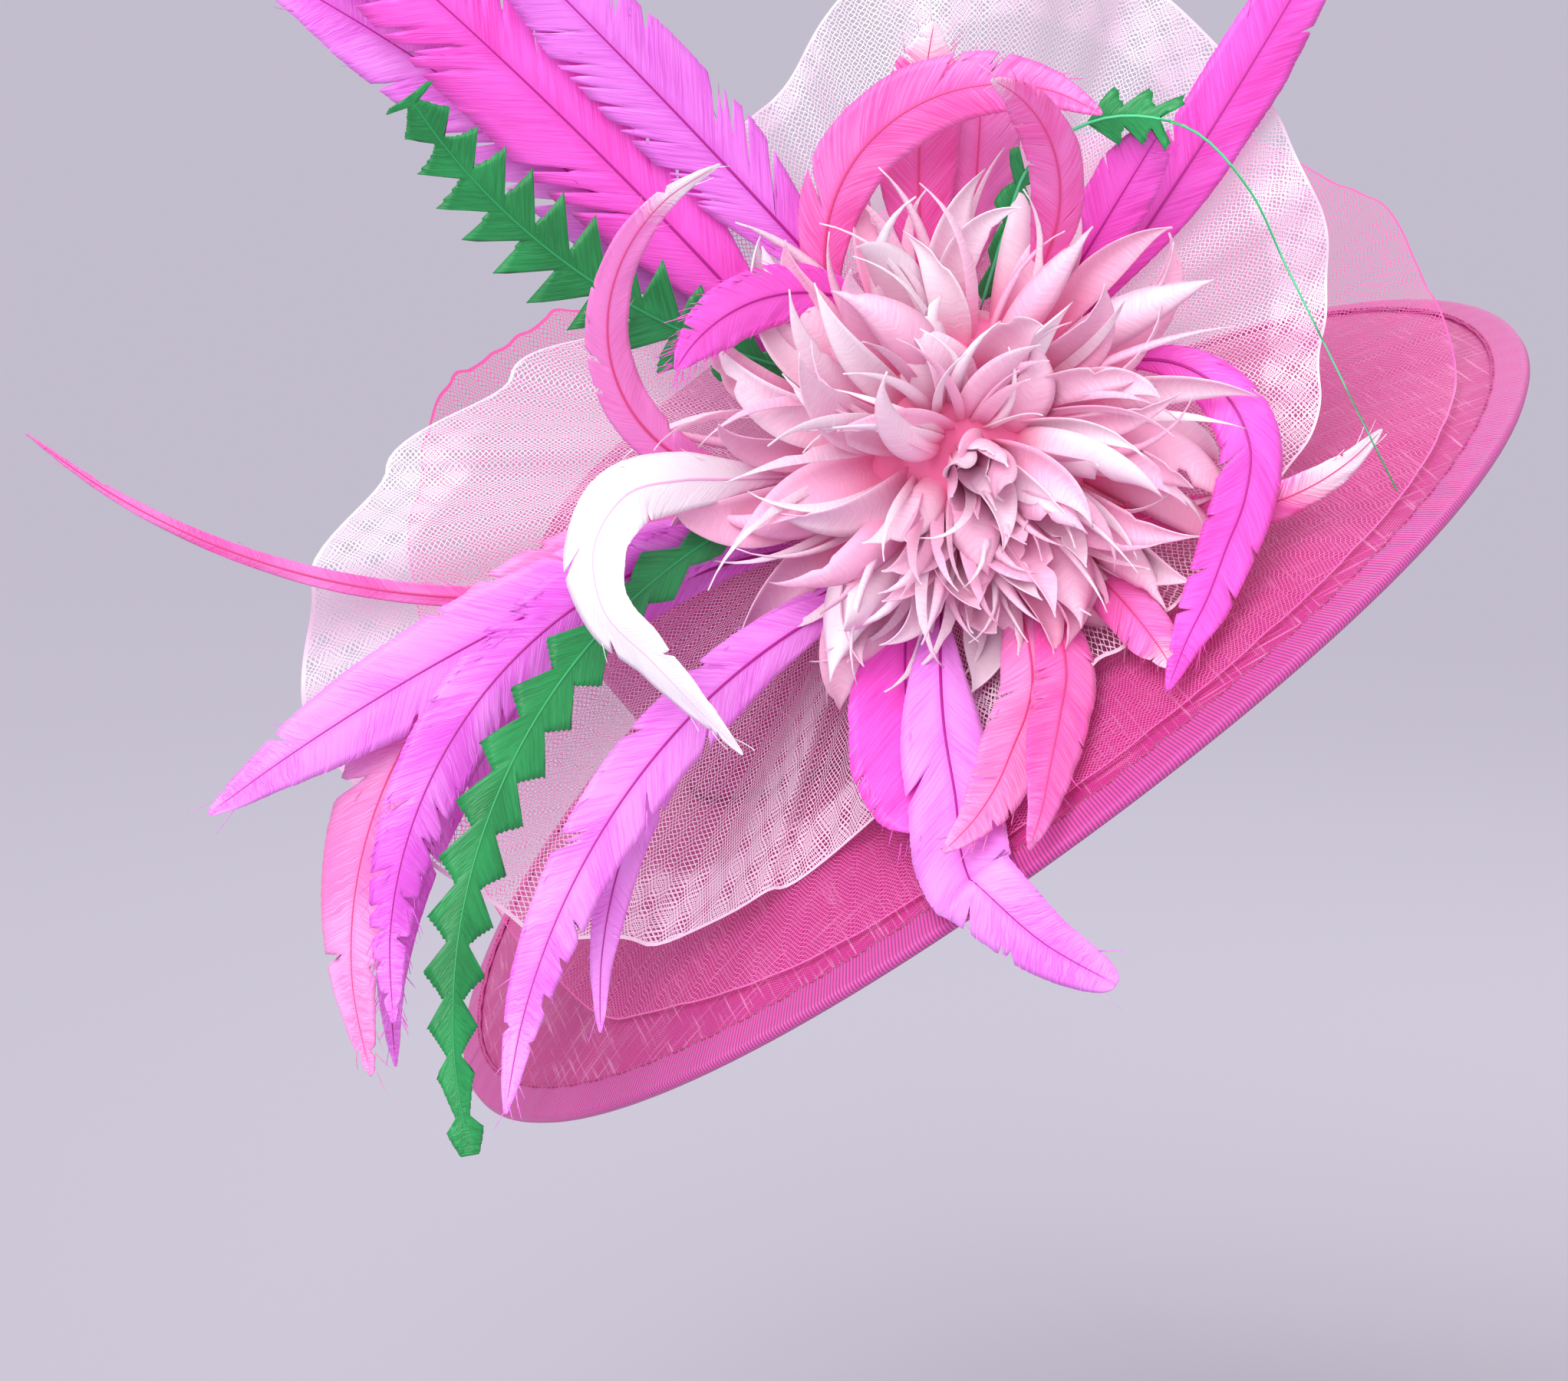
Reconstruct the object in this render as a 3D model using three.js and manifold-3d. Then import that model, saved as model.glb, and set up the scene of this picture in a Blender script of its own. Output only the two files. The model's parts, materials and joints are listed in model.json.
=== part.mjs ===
// A wide-brimmed fascinator hat: woven straw crown and brim, a ribbon-bound edge, two crinoline
// frills, a feather flower on the near side of the crown and long cut feathers round the flower.
// Millimetres, +Z up as worn. The origin is the centre of the head opening.
import * as THREE from "three";
import { mergeVertices } from "three/addons/utils/BufferGeometryUtils.js";
import Module from "manifold-3d";

const wasm = await Module();
wasm.setup();

// How the hat sits on the head, in degrees
const wornSideTilt = -34;
const wornNod = 11;
const wornTurn = 11;

// Clearance left between pieces that touch
const fitGap = 0.3;

// Crown: an oval cap with straight sides and a rounded top corner
const crownLength = 208;
const crownWidth = 172;
const crownHeight = 114;
const crownFlare = 5;
const crownCorner = 22;
const crownDome = 6;
const crownWall = 1.8;

// Brim: an oval sheet that turns down, more at the two ends than at the middle
const brimLength = 464;
const brimWidth = 432;
const brimDrop = 25;
const brimSaddle = 9;
const brimSway = 4;
const brimRoll = 1.7;
const brimWall = 1.6;

// Ribbon folded over the edge of the brim
const bindingWidth = 12;
const bindingWall = 1;

// Crinoline net, used for both frills
const netWall = 1;
const netLift = 2;
const brimFrillReach = 0.93;
const brimFrillRise = 160;
const brimFrillSwell = 16;
const flowerFrillReach = 235;
const flowerFrillDepth = 64;
const flowerFrillWave = 5;
const flowerFrillHole = 12;
const flowerFrillFall = 2;

// Flower: a padded base sewn to the side of the crown, with petal feathers in rows
const flowerAlong = 40;
const flowerUp = 79;
const baseRadius = 44;
const baseDepth = 19;
const baseDome = 20;
const petalLength = 62;
const petalWidth = 34;
const petalWall = 1.4;
const flowerLean = 36;
const flowerStretch = 0.14;
const brimStand = 30;

// Long feathers: lengths, widths and levels below are shares of these
const featherLength = 300;
const featherWidth = 44;
const featherWall = 1.6;
const quillWidth = 3;
const quillDepth = 2.1;
const levelStep = 2.6;
const featherLift = 5;
const toothPitch = 14;

// Steps round the hat, round the flower and along a feather
const hatSteps = 54;
const frillSteps = 54;
const featherSteps = 9;

const strawPink = { color: "#d93a88", roughness: 0.55, metalness: 0 };
const ribbonPink = { color: "#d746a0", roughness: 0.45, metalness: 0 };
const netPink = { color: "#ec78af", roughness: 0.4, metalness: 0 };
const netPale = { color: "#f3dbe8", roughness: 0.35, metalness: 0 };
const petalPink = { color: "#fabed7", roughness: 0.6, metalness: 0 };
const magenta = { color: "#e032be", roughness: 0.5, metalness: 0 };
const lightMagenta = { color: "#eb5fe6", roughness: 0.5, metalness: 0 };
const coral = { color: "#ff69b0", roughness: 0.5, metalness: 0 };
const leafGreen = { color: "#148c46", roughness: 0.45, metalness: 0 };

// Outer edge of the frill on the brim, round the crown from the right end, anticlockwise from above.
// reach is a share of the brim, rise a share of brimFrillRise above it, swell of brimFrillSwell.
const brimFrillRows = [
  { turn: -180, reach: 0.86, rise: 0.24, swell: 0.3 },
  { turn: -164, reach: 0.88, rise: 0.08, swell: 0.2 },
  { turn: -145, reach: 0.93, rise: 0.0, swell: 0.1 },
  { turn: -110, reach: 0.985, rise: 0.0, swell: 0.06 },
  { turn: -50, reach: 0.985, rise: 0.0, swell: 0.06 },
  { turn: -22, reach: 0.98, rise: 0.01, swell: 0.1 },
  { turn: -6, reach: 1.0, rise: 0.12, swell: 0.4 },
  { turn: 12, reach: 1.07, rise: 0.3, swell: 0.9 },
  { turn: 30, reach: 1.07, rise: 0.52, swell: 1.0 },
  { turn: 50, reach: 0.98, rise: 0.66, swell: 0.9 },
  { turn: 72, reach: 0.82, rise: 0.66, swell: 0.5 },
  { turn: 92, reach: 0.7, rise: 0.78, swell: 0.4 },
  { turn: 112, reach: 0.64, rise: 0.94, swell: 0.6 },
  { turn: 134, reach: 0.64, rise: 0.98, swell: 1.0 },
  { turn: 152, reach: 0.69, rise: 0.84, swell: 1.0 },
  { turn: 166, reach: 0.79, rise: 0.54, swell: 0.6 },
  { turn: 180, reach: 0.86, rise: 0.24, swell: 0.3 },
];

// Outer edge of the frill round the flower, anticlockwise from the right along the brim.
// reach is a share of flowerFrillReach, out a share of flowerFrillDepth away from the crown.
const flowerFrillRows = [
  { turn: -180, reach: 0.96, out: 0.3 },
  { turn: -168, reach: 0.92, out: 0.46 },
  { turn: -158, reach: 0.84, out: 0.44 },
  { turn: -149, reach: 0.67, out: 0.62 },
  { turn: -138, reach: 0.47, out: 0.97 },
  { turn: -118, reach: 0.355, out: 1.06 },
  { turn: -97, reach: 0.32, out: 1.0 },
  { turn: -76, reach: 0.33, out: 0.92 },
  { turn: -54, reach: 0.395, out: 0.66 },
  { turn: -28, reach: 0.54, out: 0.14 },
  { turn: -3, reach: 0.63, out: -0.05 },
  { turn: 14, reach: 0.67, out: -0.3 },
  { turn: 31, reach: 0.7, out: -0.5 },
  { turn: 46, reach: 0.71, out: -0.1 },
  { turn: 63, reach: 0.64, out: -0.5 },
  { turn: 84, reach: 0.53, out: -0.3 },
  { turn: 124, reach: 0.46, out: -0.36 },
  { turn: 138, reach: 0.62, out: -0.46 },
  { turn: 148, reach: 0.8, out: -0.2 },
  { turn: 156, reach: 0.93, out: 0.08 },
  { turn: 168, reach: 1.0, out: 0.04 },
  { turn: 180, reach: 0.96, out: 0.3 },
];

// Rows of petals, from the outermost inwards: how far out of the flower's plane they stand,
// where they start on the base, and how long they are as a share of petalLength
const petalRows = [
  { count: 11, stand: 28, start: 0.78, length: 1.0, curl: -10, phase: 0 },
  { count: 9, stand: 48, start: 0.56, length: 0.9, curl: -20, phase: 17 },
  { count: 6, stand: 64, start: 0.3, length: 0.74, curl: -20, phase: 5 },
  { count: 3, stand: 76, start: 0.12, length: 0.6, curl: 16, phase: 30 },
];

// Long feathers. at: where the quill meets the base; aim: its first direction; bend: how far it
// turns along its length, or only between the shares from and to of it; lean: its first angle out of
// the flower's plane; rise: how far that changes; twist: the turn of the blade about its quill.
// Angles are in degrees, length and width are shares of the named sizes, level counts levelSteps.
const featherRows = [
  { name: "tall_magenta", dye: magenta, at: 126, aim: 96, bend: 10, length: 0.85, width: 1.0,
    lean: 3, rise: -4, twist: 10, level: 1 },
  { name: "tall_light_magenta", dye: lightMagenta, at: 140, aim: 94, bend: 26, length: 0.84,
    width: 0.9, lean: -1, rise: -3, twist: 12, level: 0 },
  { name: "upright_magenta", dye: magenta, at: 90, aim: 97, bend: 4, length: 0.66,
    width: 0.8, lean: 5, rise: -4, twist: -12, level: 2 },
  { name: "left_coral_curl", dye: coral, at: 152, aim: 154, bend: -172, length: 0.62,
    width: 0.36, lean: 20, rise: 0, twist: 20, level: 4 },
  { name: "top_magenta_curl", dye: magenta, at: 82, aim: 110, bend: 90, length: 0.34,
    width: 0.5, lean: 14, rise: 30, twist: 0, level: 6 },
  { name: "coral_arch", dye: coral, at: 101, aim: 88, bend: -165, length: 0.54, width: 0.6,
    lean: 11, rise: 10, twist: 0, level: 4 },
  { name: "coral_upright", dye: coral, at: 66, aim: 66, bend: -20, length: 0.33,
    width: 0.66, lean: 8, rise: 4, twist: 0, level: 2 },
  { name: "coral_broad", dye: coral, at: 52, aim: 48, bend: 10, length: 0.27, width: 0.8,
    lean: 8, rise: 0, twist: 8, level: 0 },
  { name: "coral_curl", dye: coral, at: 36, aim: 22, bend: 105, length: 0.4, width: 0.46,
    lean: 28, rise: 10, twist: 0, level: 5 },
  { name: "oval_magenta", dye: magenta, at: 17, aim: 28, bend: 0, length: 0.27, width: 0.56,
    lean: 10, rise: 6, twist: 0, level: 3 },
  { name: "long_magenta_right", dye: magenta, at: 2, aim: 20, bend: 6, length: 0.66,
    width: 0.68, lean: 0, rise: -6, twist: 0, level: 1 },
  { name: "right_magenta_curve", dye: magenta, at: -14, aim: 5, bend: -162, from: 0, to: 0.5,
    length: 0.58, width: 0.5, lean: 30, rise: 6, twist: 20, level: 2 },
  { name: "right_coral_fork", dye: coral, at: -56, aim: -56, bend: 84, length: 0.4,
    width: 0.34, lean: 43, rise: -24, twist: 0, level: 1 },
  { name: "lower_coral_curl", dye: coral, at: -80, aim: -66, bend: -40, length: 0.32,
    width: 0.44, lean: 66, rise: -6, twist: 0, level: 1 },
  { name: "broad_magenta_down", dye: magenta, at: -141, aim: -149, bend: 40, length: 0.36,
    width: 1.1, lean: 46, rise: 10, twist: 0, level: 3 },
  { name: "coral_twist_down", dye: coral, at: -104, aim: -109, bend: -84, length: 0.5,
    width: 0.56, lean: 73, rise: -42, twist: 30, level: 1 },
  { name: "coral_dart_down", dye: coral, at: -92, aim: -108, bend: -60, length: 0.52,
    width: 0.5, lean: 67, rise: -20, twist: 0, level: 2 },
  { name: "light_magenta_under", dye: lightMagenta, at: -126, aim: -157, bend: 104,
    length: 0.8, width: 0.8, lean: 66, rise: -60, twist: 0, level: 0 },
  { name: "white_pink_twist", dye: coral, at: 158, aim: 138, bend: 142, from: 0.3, to: 0.65, length: 0.64,
    width: 0.56, lean: 32, rise: -4, twist: 50, level: 4 },
  { name: "left_magenta", dye: magenta, at: 168, aim: 158, bend: 24, length: 0.78,
    width: 0.8, lean: 14, rise: -10, twist: 16, level: 2 },
  { name: "left_thin_pink", dye: coral, at: 176, aim: 168, bend: -70, length: 0.96,
    width: 0.18, lean: 5, rise: 4, twist: 0, level: 0 },
  { name: "left_coral_droop", dye: coral, at: -176, aim: 138, bend: 120, length: 0.97,
    width: 0.8, lean: 10, rise: -4, twist: 20, level: 1 },
  { name: "left_magenta_ragged", dye: magenta, at: -170, aim: 136, bend: 112, length: 0.87,
    width: 0.62, lean: 18, rise: -8, twist: 0, level: 3 },
  { name: "left_magenta_droop", dye: magenta, at: -163, aim: 146, bend: 102, length: 0.9,
    width: 0.5, lean: 7, rise: -6, twist: 0, level: 1 },
  { name: "lower_light_magenta", dye: lightMagenta, at: -134, aim: 152, bend: 78,
    length: 0.86, width: 0.6, lean: 34, rise: -14, twist: 10, level: 1 },
  { name: "lower_light_fork", dye: lightMagenta, at: -152, aim: 160, bend: 80, length: 0.68,
    width: 0.4, lean: 26, rise: -4, twist: 0, level: 3 },
];

const greenRows = [
  { name: "green_left_up", dye: leafGreen, at: 116, aim: 131, bend: -46, length: 0.6,
    width: 0.8, lean: 6, rise: 6, twist: 0, level: 2 },
  { name: "green_right_arch", dye: leafGreen, at: 44, aim: 42, bend: -142, from: 0.1, to: 0.5, length: 0.82,
    width: 0.24, lean: 14, rise: 6, twist: 0, level: 2 },
  { name: "green_left_down", dye: leafGreen, at: 163, aim: 159, bend: 94, length: 0.93,
    width: 0.54, lean: 24, rise: -8, twist: 0, level: 3 },
];

const rad = THREE.MathUtils.degToRad;

// Closed body from flat lists of corner places and triangles, turned inside in if its volume is not
function closedBody(places, triangles) {
  let volume = 0;
  for (let i = 0; i < triangles.length; i += 3) {
    const [a, b, c] = [places[triangles[i]], places[triangles[i + 1]], places[triangles[i + 2]]];
    volume += a.dot(b.clone().cross(c));
  }
  const order = volume > 0 ? triangles : triangles.slice().reverse();
  const geometry = new THREE.BufferGeometry().setFromPoints(places);
  geometry.setIndex(order);
  return geometry;
}

// Body through a row of closed sections with the same number of corners each. Faces are cut the
// same way across on both sides, so that a twisted wall keeps its thickness.
function loft(sections, ring) {
  const corners = sections[0].length;
  const triangles = [];
  const last = ring ? sections.length : sections.length - 1;
  for (let i = 0; i < last; i++) {
    const here = i * corners;
    const next = ((i + 1) % sections.length) * corners;
    for (let j = 0; j < corners; j++) {
      const k = (j + 1) % corners;
      if (j < corners / 2) {
        triangles.push(here + j, here + k, next + k, here + j, next + k, next + j);
      } else {
        triangles.push(here + j, here + k, next + j, here + k, next + k, next + j);
      }
    }
  }
  if (!ring) {
    const end = (sections.length - 1) * corners;
    for (let j = 1; j < corners - 1; j++) {
      triangles.push(0, j + 1, j, end, end + j, end + j + 1);
    }
  }
  return closedBody(sections.flat(), triangles);
}

// Wall of even thickness on a sheet that closes round on itself; sheet(turn, share) gives its middle
function roundWall(sheet, turns, rows, wall) {
  const sections = [];
  const nudge = 0.002;
  for (let i = 0; i < turns; i++) {
    const turn = (i / turns) * 360 - 180;
    const upper = [];
    const lower = [];
    for (let j = 0; j <= rows; j++) {
      const share = j / rows;
      const across = sheet(turn + 1, share).sub(sheet(turn - 1, share));
      const along = sheet(turn, share + nudge).sub(sheet(turn, share - nudge));
      const normal = along.cross(across).normalize();
      upper.push(sheet(turn, share).addScaledVector(normal, -wall / 2));
      lower.unshift(sheet(turn, share).addScaledVector(normal, wall / 2));
    }
    sections.push([...upper, ...lower]);
  }
  return loft(sections, true);
}

// Value of one column of a table at a turn, eased between its rows
function readRows(rows, column, turn) {
  const wrapped = ((((turn + 180) % 360) + 360) % 360) - 180;
  let i = 0;
  while (i < rows.length - 2 && rows[i + 1].turn < wrapped) i++;
  const share = (wrapped - rows[i].turn) / (rows[i + 1].turn - rows[i].turn);
  const eased = share * share * (3 - 2 * share);
  return rows[i][column] + (rows[i + 1][column] - rows[i][column]) * eased;
}

// Half length of the crown at a height, with its sides leaning out towards the rounded corner
function crownSide(height) {
  const straight = crownHeight - crownDome - crownCorner;
  return crownLength / 2 + crownFlare * Math.min(1, Math.max(0, height / straight));
}

const flowerOut = crownSide(crownHeight) * (crownWidth / crownLength) + fitGap + netWall / 2;

function crownProfile(inset) {
  const radius = crownCorner - inset;
  const list = [
    new THREE.Vector2(crownSide(0) - inset, -brimWall),
    new THREE.Vector2(crownSide(0) - inset, 0),
  ];
  for (let i = 0; i <= 3; i++) {
    const a = (i / 3) * (Math.PI / 2);
    list.push(new THREE.Vector2(
      crownSide(crownHeight) - crownCorner + radius * Math.cos(a),
      crownHeight - crownDome - crownCorner + radius * Math.sin(a),
    ));
  }
  list.push(new THREE.Vector2(crownLength * 0.2, crownHeight - crownDome * 0.25 - inset));
  list.push(new THREE.Vector2(0, crownHeight - inset));
  return list;
}

function crown() {
  const profile = [...crownProfile(crownWall).reverse(), ...crownProfile(0)];
  const shape = new THREE.LatheGeometry(profile, hatSteps);
  shape.rotateX(Math.PI / 2);
  shape.scale(1, crownWidth / crownLength, 1);
  return welded(shape);
}

// How far a place on the brim lies below the foot of the crown
function brimFall(turn, share) {
  const a = rad(turn);
  const drop = brimDrop + brimSaddle * Math.cos(2 * a) - brimSway * Math.cos(a);
  return drop * Math.pow(Math.max(share, 0), brimRoll);
}

// Middle of the brim's sheet; share runs from the crown at 0 to the edge at 1
function brimPoint(turn, share, lift = 0) {
  const a = rad(turn);
  const innerLong = crownLength / 2 + fitGap;
  const innerWide = crownWidth / 2 + fitGap;
  return new THREE.Vector3(
    (innerLong + (brimLength / 2 - innerLong) * share) * Math.cos(a),
    (innerWide + (brimWidth / 2 - innerWide) * share) * Math.sin(a),
    lift - brimWall / 2 - brimFall(turn, share),
  );
}

function brim() {
  return roundWall((turn, share) => brimPoint(turn, share), hatSteps, 5, brimWall);
}

// Ribbon folded over the edge: a slim U in section, with the brim's edge inside it
function edgeBinding() {
  const sections = [];
  const within = brimWall / 2 + fitGap;
  const without = within + bindingWall;
  const innerShare = 1 - bindingWidth / (brimWidth / 2 - crownWidth / 2);
  for (let i = 0; i < hatSteps; i++) {
    const turn = (i / hatSteps) * 360 - 180;
    const edge = brimPoint(turn, 1);
    const out = edge.clone().sub(brimPoint(turn, innerShare)).normalize();
    const round = brimPoint(turn + 1, 1).sub(brimPoint(turn - 1, 1)).normalize();
    const up = out.clone().cross(round).normalize();
    const place = (reach, height) => edge.clone().addScaledVector(out, reach).addScaledVector(up, height);
    sections.push([
      place(-bindingWidth, -without),
      place(fitGap, -without),
      place(fitGap + bindingWall, 0),
      place(fitGap, without),
      place(-bindingWidth, without),
      place(-bindingWidth, within),
      place(fitGap, within),
      place(fitGap, -within),
      place(-bindingWidth, -within),
    ]);
  }
  return loft(sections, true);
}

// Wide net frill that starts at the foot of the crown, lies on the near brim and stands up behind
function brimFrillPoint(turn, share) {
  const a = rad(turn);
  const startLong = crownLength / 2 + 2 * fitGap + netWall;
  const startWide = crownWidth / 2 + 2 * fitGap + netWall;
  const reach = readRows(brimFrillRows, "reach", turn) * brimFrillReach;
  const rise = readRows(brimFrillRows, "rise", turn) * brimFrillRise;
  const swell = readRows(brimFrillRows, "swell", turn) * brimFrillSwell;
  const long = startLong + ((brimLength / 2) * reach - startLong) * share;
  const wide = startWide + ((brimWidth / 2) * reach - startWide) * share;
  const onBrim = (long - crownLength / 2) / (brimLength / 2 - crownLength / 2);
  const level = netLift - brimFall(turn, onBrim);
  const bow = swell * Math.sin(Math.PI * Math.min(Math.max(share, 0), 1));
  return new THREE.Vector3(
    (long + bow * 0.5) * Math.cos(a),
    (wide + bow * 0.5) * Math.sin(a),
    level + rise * Math.pow(Math.max(share, 0), 1.3) + bow * 0.3,
  );
}

function brimFrill() {
  return roundWall(brimFrillPoint, frillSteps, 5, netWall);
}

// Where a place in the flower's frame stands over the brim: its turn, and its share of the way out
function brimUnder(place) {
  const long = (flowerAlong + place.x) / (brimLength / 2);
  const wide = -(flowerOut + place.z) / (brimWidth / 2);
  const inner = crownWidth / brimWidth;
  return {
    turn: THREE.MathUtils.radToDeg(Math.atan2(wide, long)),
    share: (Math.hypot(long, wide) - inner) / (1 - inner),
  };
}

// Height in the flower's frame of the frill that lies on the brim, under a place in that frame
function brimTop(place) {
  const { turn, share } = brimUnder(place);
  return netLift + netWall + fitGap - brimFall(turn, share) - flowerUp;
}

// Places in the flower's own frame: x along the brim, y up the crown, z straight out of its side
function flowerFrillPoint(turn, share) {
  const a = rad(turn);
  const edge = readRows(flowerFrillRows, "reach", turn) * flowerFrillReach;
  const out = readRows(flowerFrillRows, "out", turn) * flowerFrillDepth;
  const free = Math.max(share, 0);
  const wave = flowerFrillWave * Math.sin(a * 9 + 0.6) * Math.pow(free, 2);
  const reach = flowerFrillHole + (edge - flowerFrillHole) * share;
  const start = baseRadius * 1.25;
  const held = Math.max(0, (reach - start) / (edge - start));
  return new THREE.Vector3(
    reach * Math.cos(a),
    reach * Math.sin(a),
    out * Math.pow(held, flowerFrillFall) + wave * Math.min(1, held * 2),
  );
}

function flowerFrill() {
  return roundWall(flowerFrillPoint, frillSteps, 5, netWall);
}

const overBrim = (place) => brimUnder(place).share < 1.1;

// The quill as a row of steps in the flower's frame, each with its direction and its blade's across
function quill(row) {
  const { from = 0, to = 1 } = row;
  const steps = [];
  const sideways = Math.abs(Math.sin(rad(row.aim - row.at))) * quillWidth / 2;
  const backwards = Math.sin(rad(Math.max(0, row.lean))) * quillDepth / 2;
  const startRadius = baseRadius + fitGap + Math.max(sideways, backwards);
  const length = row.length * featherLength;
  const place = new THREE.Vector3(
    startRadius * Math.cos(rad(row.at)),
    startRadius * Math.sin(rad(row.at)),
    netWall / 2 + fitGap + featherWall + row.level * levelStep,
  );
  for (let i = 0; i <= featherSteps; i++) {
    const share = i / featherSteps;
    const bent = THREE.MathUtils.clamp((share - from) / (to - from), 0, 1);
    const turn = rad(row.aim + row.bend * bent);
    const lean = rad(row.lean + row.rise * share);
    const along = new THREE.Vector3(
      Math.cos(lean) * Math.cos(turn),
      Math.cos(lean) * Math.sin(turn),
      Math.sin(lean),
    );
    const across = new THREE.Vector3(-Math.sin(turn), Math.cos(turn), 0);
    across.applyAxisAngle(along, rad(row.twist * share));
    const half = (row.width * featherWidth * bladeWidth(share)) / 2;
    if (overBrim(place)) {
      place.y = Math.max(place.y, brimTop(place) + featherLift + half * Math.abs(across.y));
    }
    steps.push({ place: place.clone(), along, across, share });
    place.addScaledVector(along, length / featherSteps);
  }
  return steps;
}

// Flat lozenge across the quill: two edges of the blade and the ridge of the quill on both sides
function bladeSection(step, width, wall) {
  const up = step.along.clone().cross(step.across).normalize();
  const half = width / 2;
  return [
    step.place.clone().addScaledVector(step.across, -half).addScaledVector(up, -half * 0.12),
    step.place.clone().addScaledVector(up, -wall / 2),
    step.place.clone().addScaledVector(step.across, half).addScaledVector(up, -half * 0.12),
    step.place.clone().addScaledVector(up, wall / 2),
  ];
}

// Share of a feather's full width along its length: bare quill, blade, rounded tip
function bladeWidth(share) {
  const opening = Math.min(1, Math.max(0, (share - 0.06) / 0.3));
  const closing = Math.sqrt(Math.max(0, 1 - Math.pow(Math.max(0, (share - 0.45) / 0.57), 2)));
  return Math.sin((opening * Math.PI) / 2) * closing;
}

function longFeather(row) {
  const sections = quill(row).map((step) => {
    const width = Math.max(quillWidth, row.width * featherWidth * bladeWidth(step.share));
    return bladeSection(step, width, step.share < 0.1 ? quillDepth : featherWall);
  });
  return loft(sections, false);
}

// Blade cut into teeth: each tooth opens slowly towards the tip and closes at once
function toothedFeather(row) {
  const steps = quill(row);
  const path = new THREE.CatmullRomCurve3(steps.map((step) => step.place));
  const length = row.length * featherLength;
  const teeth = Math.max(4, Math.round((length * 0.86) / toothPitch));
  const sections = [];
  const cut = (share, width) => {
    const near = steps[Math.min(featherSteps, Math.round(share * featherSteps))];
    const along = path.getTangentAt(Math.min(share, 1));
    const across = near.across.clone().addScaledVector(along, -near.across.dot(along)).normalize();
    const step = { place: path.getPointAt(Math.min(share, 1)), along, across };
    sections.push(bladeSection(step, Math.max(quillWidth, width), featherWall));
  };
  cut(0, 0);
  for (let i = 0; i < teeth; i++) {
    const start = 0.12 + (0.86 * i) / teeth;
    const full = row.width * featherWidth * Math.max(0.35, bladeWidth(start + 0.05));
    cut(start, full * 0.35);
    cut(start + (0.86 * 0.8) / teeth, full);
  }
  cut(1, 0);
  return loft(sections, false);
}

function petal(row, index) {
  const turn = (360 * index) / row.count + row.phase;
  const reachShare = 1 + flowerStretch * Math.cos(2 * rad(turn + flowerLean));
  const length = row.length * petalLength * reachShare;
  const start = baseRadius * row.start;
  const base = new THREE.Vector3(
    start * Math.cos(rad(turn)),
    start * Math.sin(rad(turn)),
    baseDepth * 0.75 + baseDome * (1 - row.start * row.start) * 0.7,
  );
  const sections = [];
  const steps = 3;
  for (let i = 0; i <= steps; i++) {
    const share = i / steps;
    const swing = rad(turn + 24 * share * (index % 2 ? 1 : -1));
    const lean = rad(row.stand + row.curl * share + brimStand * Math.max(0, -Math.sin(rad(turn))));
    const along = new THREE.Vector3(
      Math.cos(lean) * Math.cos(swing),
      Math.cos(lean) * Math.sin(swing),
      Math.sin(lean),
    );
    const across = new THREE.Vector3(-Math.sin(swing), Math.cos(swing), 0);
    const width = petalWidth * Math.max(0.08, Math.sin(Math.PI * (0.16 + 0.8 * share)));
    sections.push(bladeSection({ place: base.clone(), along, across }, width, petalWall));
    base.addScaledVector(along, length / steps);
  }
  return loft(sections, false);
}

// The same mesh with shared corners and without the empty triangles at its poles
function welded(geometry) {
  const plain = geometry.clone();
  plain.deleteAttribute("normal");
  plain.deleteAttribute("uv");
  const merged = mergeVertices(plain, 1e-4);
  const kept = [];
  for (let i = 0; i < merged.index.count; i += 3) {
    const [a, b, c] = [0, 1, 2].map((k) => merged.index.getX(i + k));
    if (a !== b && b !== c && c !== a) kept.push(a, b, c);
  }
  merged.setIndex(kept);
  return merged;
}

function solid(geometry) {
  const merged = welded(geometry);
  return new wasm.Manifold(new wasm.Mesh({
    numProp: 3,
    vertProperties: new Float32Array(merged.attributes.position.array),
    triVerts: new Uint32Array(merged.index.array),
  }));
}

function flower() {
  const back = netWall / 2 + fitGap;
  const profile = [
    new THREE.Vector2(0, back),
    new THREE.Vector2(baseRadius - 1, back),
    new THREE.Vector2(baseRadius, back + 1),
    new THREE.Vector2(baseRadius, baseDepth),
    new THREE.Vector2(baseRadius * 0.8, baseDepth + baseDome * 0.4),
    new THREE.Vector2(baseRadius * 0.4, baseDepth + baseDome * 0.85),
    new THREE.Vector2(0, baseDepth + baseDome),
  ];
  const base = new THREE.LatheGeometry(profile, 24);
  base.rotateX(Math.PI / 2);
  let whole = solid(base);
  for (const row of petalRows) {
    for (let i = 0; i < row.count; i++) {
      whole = whole.add(solid(petal(row, i)));
    }
  }
  const mesh = whole.getMesh();
  const geometry = new THREE.BufferGeometry();
  geometry.setAttribute("position", new THREE.BufferAttribute(mesh.vertProperties, 3));
  geometry.setIndex(new THREE.BufferAttribute(mesh.triVerts, 1));
  return geometry;
}

function piece(name, geometry, look) {
  const mesh = new THREE.Mesh(geometry, new THREE.MeshStandardMaterial(look));
  mesh.name = name;
  return mesh;
}

const hat = new THREE.Group();
hat.rotation.set(rad(wornNod), rad(wornSideTilt), rad(wornTurn));
hat.add(piece("crown", crown(), strawPink));
hat.add(piece("brim", brim(), strawPink));
hat.add(piece("edge_binding", edgeBinding(), ribbonPink));
hat.add(piece("brim_frill", brimFrill(), netPink));

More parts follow.
